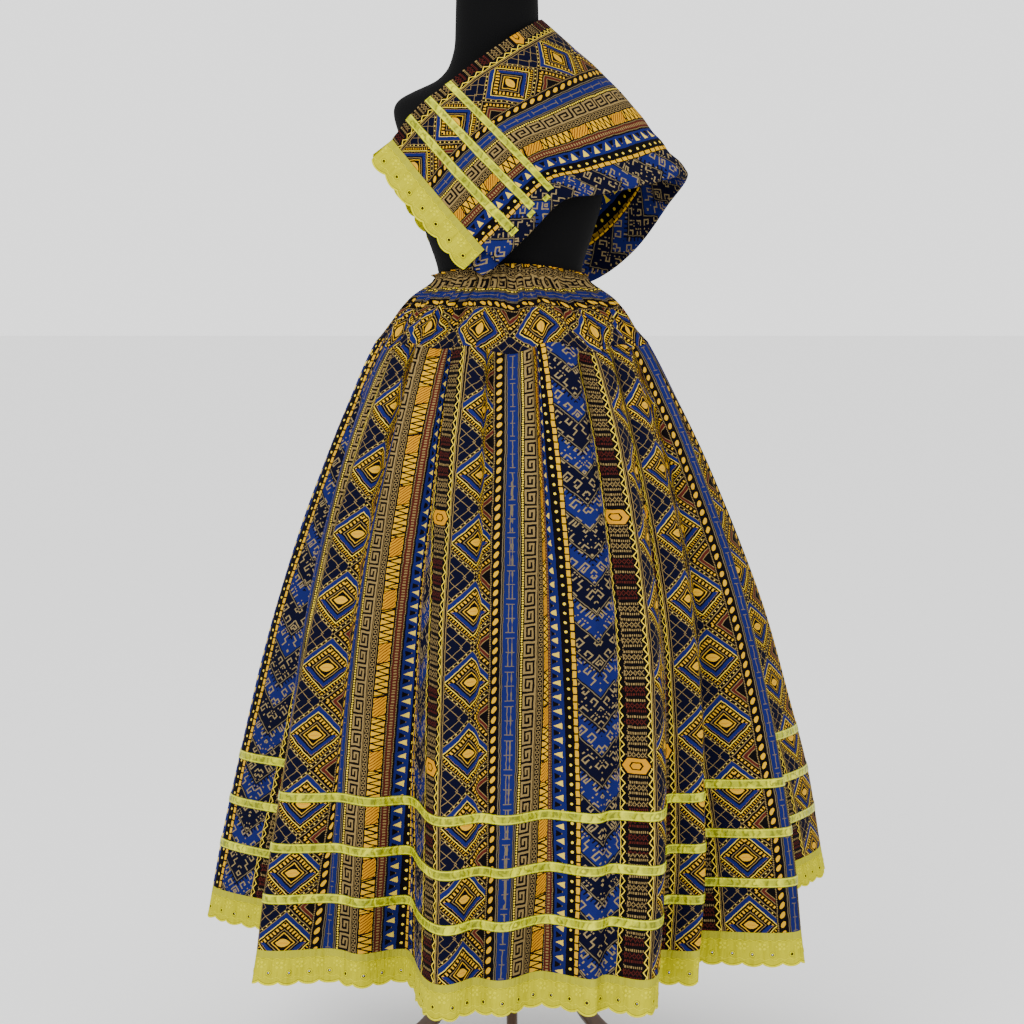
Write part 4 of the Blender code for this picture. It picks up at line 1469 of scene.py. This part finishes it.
class SKIRT_OT_panels(bpy.types.Operator):
    """Build the front and back widths, gathered to the yoke"""

    bl_idname = "skirt_set.panels"
    bl_label = "Skirt Widths"

    def execute(self, context):
        cotton = finish_of("cotton_print", printed_cotton)
        sizes = context.scene.skirt_set
        per_half, rows = 26, 62
        side_gap = 1e-5  # share of the way round
        crowding = 1.12  # above 1, rows stand closer together near the yoke
        steps = np.linspace(0.0, 1.0, rows) ** crowding
        drops = YOKE_DEPTH + SEAM_GAP + (PANEL_END - YOKE_DEPTH - SEAM_GAP) * steps
        for name, first in (("skirt_panel_front", 10), ("skirt_panel_back", 30)):
            t = fold_columns(first, first + HALF_FOLDS // 2, per_half)
            t, drop = np.meshgrid(t, drops)
            plain = skirt_surface(t, drop)
            across = spread_across(plain, first, per_half, sizes.hidden_cloth) * PANEL_PRINT
            shift = np.zeros(t.shape[1] - 1)
            for begins, crest, place in PRINT_PLACES[name]:
                at_crest = across[-1, (crest - first) * per_half]
                shift[(begins - first) * per_half:] = place + PANEL_PRINT_START - at_crest
            down = run_lengths(plain, 0).mean(axis=1)
            t[:, 0] += side_gap
            t[:, -1] -= side_gap
            outer, inner = both_sides(skirt_cloth, t, drop)
            uv = flat_places(across, down[:, None])
            piece = grid_wall(name + "_cloth", outer, inner, uv, cotton, shift=shift)
            declare_cloth(name)
        return {"FINISHED"}


class SKIRT_OT_hem_ribbons(bpy.types.Operator):
    """Sew three satin ribbons round the skirt above its hem"""

    bl_idname = "skirt_set.hem_ribbons"
    bl_label = "Hem Ribbons"

    def execute(self, context):
        finish = finish_of("satin_weave", satin)
        sizes = context.scene.skirt_set
        columns, rows = 1700, 5
        v = np.linspace(-0.5, 0.5, rows)
        arch = np.cos(v * np.pi)[:, None]
        for name, middle in RIBBON_DROPS.items():
            t, drop = np.meshgrid(np.arange(columns) / columns, middle + v * sizes.ribbon_width)
            turn = 2 * np.pi * t
            phase = 290 * turn + 3.0 * np.sin(23 * turn) + 2.0 * np.sin(41 * turn + middle * 50)
            pucker = sizes.ribbon_pucker * arch * (0.5 + 0.5 * np.sin(phase))
            outer, inner = ribbon_sides(skirt_cloth, t, drop, pucker)
            girth = run_lengths(closed_round(outer), 1)[rows // 2]
            uv = flat_places(((v + 0.5) * RIBBON_PATTERN)[:, None], girth)
            piece = grid_wall(f"hem_ribbon_{name}_satin", outer, inner, uv, finish, wraps=True)
            declare_cloth(f"hem_ribbon_{name}")
        return {"FINISHED"}


class SKIRT_OT_hem_lace(bpy.types.Operator):
    """Hang the eyelet lace from the skirt's hem"""

    bl_idname = "skirt_set.hem_lace"
    bl_label = "Hem Lace"

    def execute(self, context):
        finish = finish_of("lace_eyelets", eyelet_lace)
        t_known = np.linspace(0.25, 1.25, 8001)
        line = skirt_surface(t_known, SKIRT_LENGTH - LACE_DEPTH / 2)
        known = running_sum(np.linalg.norm(np.diff(line, axis=0), axis=1))
        for name, start in (("hem_lace_front", 0.25), ("hem_lace_back", 0.75)):
            first, last = np.interp([start, start + 0.5], t_known, known)
            first += SEAM_GAP / 2
            length = last - SEAM_GAP / 2 - first
            surface = hem_lace_surface(first, known, t_known)
            piece = lace_piece(name + "_cloth", length, surface, finish)
            declare_cloth(name)
        return {"FINISHED"}


class SKIRT_OT_sash(bpy.types.Operator):
    """Drape the sash over the shoulder, with its lower edge turned under"""

    bl_idname = "skirt_set.sash"
    bl_label = "Shoulder Sash"

    def execute(self, context):
        cotton = finish_of("cotton_print", printed_cotton)
        run = np.linspace(0.0, SASH_END, 500)
        ply_rows, roll_rows, under_rows = 44, 10, 8
        across = np.concatenate([
            np.linspace(0.0, 1.0, ply_rows),
            np.linspace(1.0, 2.0, roll_rows)[1:],
            np.linspace(2.0, 3.0, under_rows)[1:],
        ])
        run, across = np.meshgrid(run, across)
        outer, inner = both_sides(sash_cloth, run, across)
        flat_across = np.clip(across, 0, 1) * SASH_PRINT
        flat_across += np.clip(across - 1, 0, 1) * math.pi * ROLL_RADIUS
        flat_across -= np.clip(across - 2, 0, 1) * TURN_UNDER
        along = run_lengths(sash_surface(run, across), 1)[ply_rows // 2]
        uv = flat_places(flat_across + SASH_PRINT_START + REPEAT, along)
        piece = grid_wall("sash_cloth_print", outer, inner, uv, cotton)
        declare_cloth("sash_cloth")
        return {"FINISHED"}


class SKIRT_OT_sash_ribbons(bpy.types.Operator):
    """Sew the ribbons across both ends of the sash"""

    bl_idname = "skirt_set.sash_ribbons"
    bl_label = "Sash Ribbons"

    def execute(self, context):
        finish = finish_of("satin_weave", satin)
        sizes = context.scene.skirt_set
        rows, tail_rows, columns = 142, 8, 7
        apart = 0.37  # along the satin, so that no two ribbons show the same of it
        v = np.linspace(-0.5, 0.5, columns)
        arch = np.cos(v * np.pi)
        lines = np.concatenate([
            np.linspace(0.0, SASH_RIBBON_END, rows), np.linspace(*SASH_TAIL, tail_rows)
        ])
        quads = grid_quads(rows + tail_rows, columns)
        quads = quads[quads[:, 0] // columns != rows - 1]  # none between ribbon and tail
        for side, outward in (("front", -1.0), ("back", 1.0)):
            for k, middle in enumerate(SASH_RIBBONS, 1):
                place = middle if side == "front" else SASH_END - middle
                run, across = np.meshgrid(place + v * sizes.ribbon_width, lines)
                run[rows:] += outward * SASH_TAIL_SHIFT * (k - 1)
                phase = across * 95 + 3 * np.sin(across * 17 + k)
                pucker = sizes.ribbon_pucker * arch * (0.5 + 0.5 * np.sin(phase))
                outer, inner = ribbon_sides(sash_cloth, run, across, pucker)
                along = run_lengths(outer, 0)[:, columns // 2]
                uv = flat_places((v + 0.5) * RIBBON_PATTERN, along[:, None] + apart * k)
                name = f"sash_{side}_ribbon_{k}"
                piece = wall(name + "_satin", outer.reshape(-1, 3), inner.reshape(-1, 3),
                             quads, uv.reshape(-1, 2), finish)
                declare_cloth(name)
        return {"FINISHED"}


class SKIRT_OT_sash_lace(bpy.types.Operator):
    """Sew the eyelet lace to both ends of the sash"""

    bl_idname = "skirt_set.sash_lace"
    bl_label = "Sash Lace"

    def execute(self, context):
        finish = finish_of("lace_eyelets", eyelet_lace)
        for side, place, outward in (("front", 0.0, -1.0), ("back", SASH_END, 1.0)):
            width, surface = sash_lace_surface(place, outward)
            length = width * SASH_LACE_END
            piece = lace_piece(f"sash_{side}_lace_cloth", length, surface, finish)
            declare_cloth(f"sash_{side}_lace")
        return {"FINISHED"}


class SKIRT_OT_form(bpy.types.Operator):
    """Loft the covered dress form through its elliptical rings"""

    bl_idname = "skirt_set.form"
    bl_label = "Dress Form"

    def execute(self, context):
        finish = finish_of("stretch_cover", form_cover)
        rings, flat = form_rings(context.scene.skirt_set.form_sides)
        piece = closed_tube("form_body", rings, flat, finish, sharp_deg=60.0)
        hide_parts("form_torso")
        return {"FINISHED"}


class SKIRT_OT_stand(bpy.types.Operator):
    """Shape the pole, hub and three legs of the stand"""

    bl_idname = "skirt_set.stand"
    bl_label = "Tripod Stand"

    def execute(self, context):
        wood = finish_of("stained_wood", dark_wood)
        metal = finish_of("painted_tube", pole_paint)
        form_low = WAIST_HEIGHT + FORM_RINGS[0, 0]
        pole = soft_bar(HUB_TOP + SEAM_GAP, form_low - SEAM_GAP, POLE_RADIUS, POLE_BEVEL)
        hub = soft_bar(HUB_BOTTOM, HUB_TOP, HUB_RADIUS, HUB_BEVEL)
        pieces = [
            ("stand_pole", "pole_metal", metal, *turned_rings(pole, 64)),
            ("stand_hub", "leg_wood", wood, *turned_rings(hub, 96)),
        ]
        for side, angle in LEG_ANGLES.items():
            pieces.append((f"stand_leg_{side}", "leg_wood", wood, *leg_rings(angle)))
        for name, slot, finish, rings, flat in pieces:
            piece = closed_tube(name + "_finished", rings, flat, finish, sharp_deg=35.0)
            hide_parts(name)
        return {"FINISHED"}


class SKIRT_OT_stage(bpy.types.Operator):
    """Set the pale floor, soft lights and camera"""

    bl_idname = "skirt_set.stage"
    bl_label = "Studio Stage"

    def execute(self, context):
        scene = context.scene
        pale = Shader("pale_floor", Base_Color=(0.86, 0.86, 0.86, 1.0), Roughness=0.9)
        mesh = bpy.data.meshes.new("floor")
        near, far = -FLOOR_REACH, FLOOR_REACH
        corners = [(near, near, 0.0), (far, near, 0.0), (far, far, 0.0), (near, far, 0.0)]
        mesh.from_pydata(corners, [], [(0, 1, 2, 3)])
        mesh.materials.append(pale.material)
        floor = bpy.data.objects.new("floor", mesh)
        scene.collection.objects.link(floor)
        world = bpy.data.worlds.new("studio")
        world.use_nodes = True
        sky = world.node_tree.nodes["Background"].inputs
        sky["Color"].default_value = (1.0, 1.0, 1.0, 1.0)
        sky["Strength"].default_value = SKY_STRENGTH
        scene.world = world
        for name, place, size, watts in LIGHTS:
            light = bpy.data.lights.new(name, "AREA")
            light.size, light.energy = size, watts
            lamp = bpy.data.objects.new(name, light)
            lamp.location = place
            aim = Vector(LIGHT_AIM) - lamp.location
            lamp.rotation_euler = aim.to_track_quat("-Z", "Y").to_euler()
            scene.collection.objects.link(lamp)
        lens = bpy.data.cameras.new("camera")
        lens.lens, lens.sensor_width = LENS_MM, SENSOR_MM
        camera = bpy.data.objects.new("camera", lens)
        camera.location = CAMERA_PLACE
        camera.rotation_euler = (math.radians(90.0 - CAMERA_LOOKS_DOWN_DEG), 0.0, 0.0)
        scene.collection.objects.link(camera)
        scene.camera = camera
        return {"FINISHED"}


OPERATORS = (
    SKIRT_OT_top,
    SKIRT_OT_panels,
    SKIRT_OT_hem_ribbons,
    SKIRT_OT_hem_lace,
    SKIRT_OT_sash,
    SKIRT_OT_sash_ribbons,
    SKIRT_OT_sash_lace,
    SKIRT_OT_form,
    SKIRT_OT_stand,
    SKIRT_OT_stage,
)


class SKIRT_PT_panel(bpy.types.Panel):
    """Lists the sizes, the colours and the operators in the sidebar"""

    bl_label = "Skirt Set"
    bl_idname = "SKIRT_PT_panel"
    bl_space_type = "VIEW_3D"
    bl_region_type = "UI"
    bl_category = "Skirt Set"

    def draw(self, context):
        sizes = context.scene.skirt_set
        for name in SkirtSetSizes.__annotations__:
            self.layout.prop(sizes, name)
        for operator in OPERATORS:
            self.layout.operator(operator.bl_idname)


CLASSES = (SkirtSetSizes, *OPERATORS, SKIRT_PT_panel)


def register():
    for kind in CLASSES:
        bpy.utils.register_class(kind)
    bpy.types.Scene.skirt_set = PointerProperty(type=SkirtSetSizes)


def unregister():
    del bpy.types.Scene.skirt_set
    for kind in reversed(CLASSES):
        bpy.utils.unregister_class(kind)


def main():
    register()
    for operator in OPERATORS:
        group, name = operator.bl_idname.split(".")
        getattr(getattr(bpy.ops, group), name)()


if __name__ == "__main__":
    main()
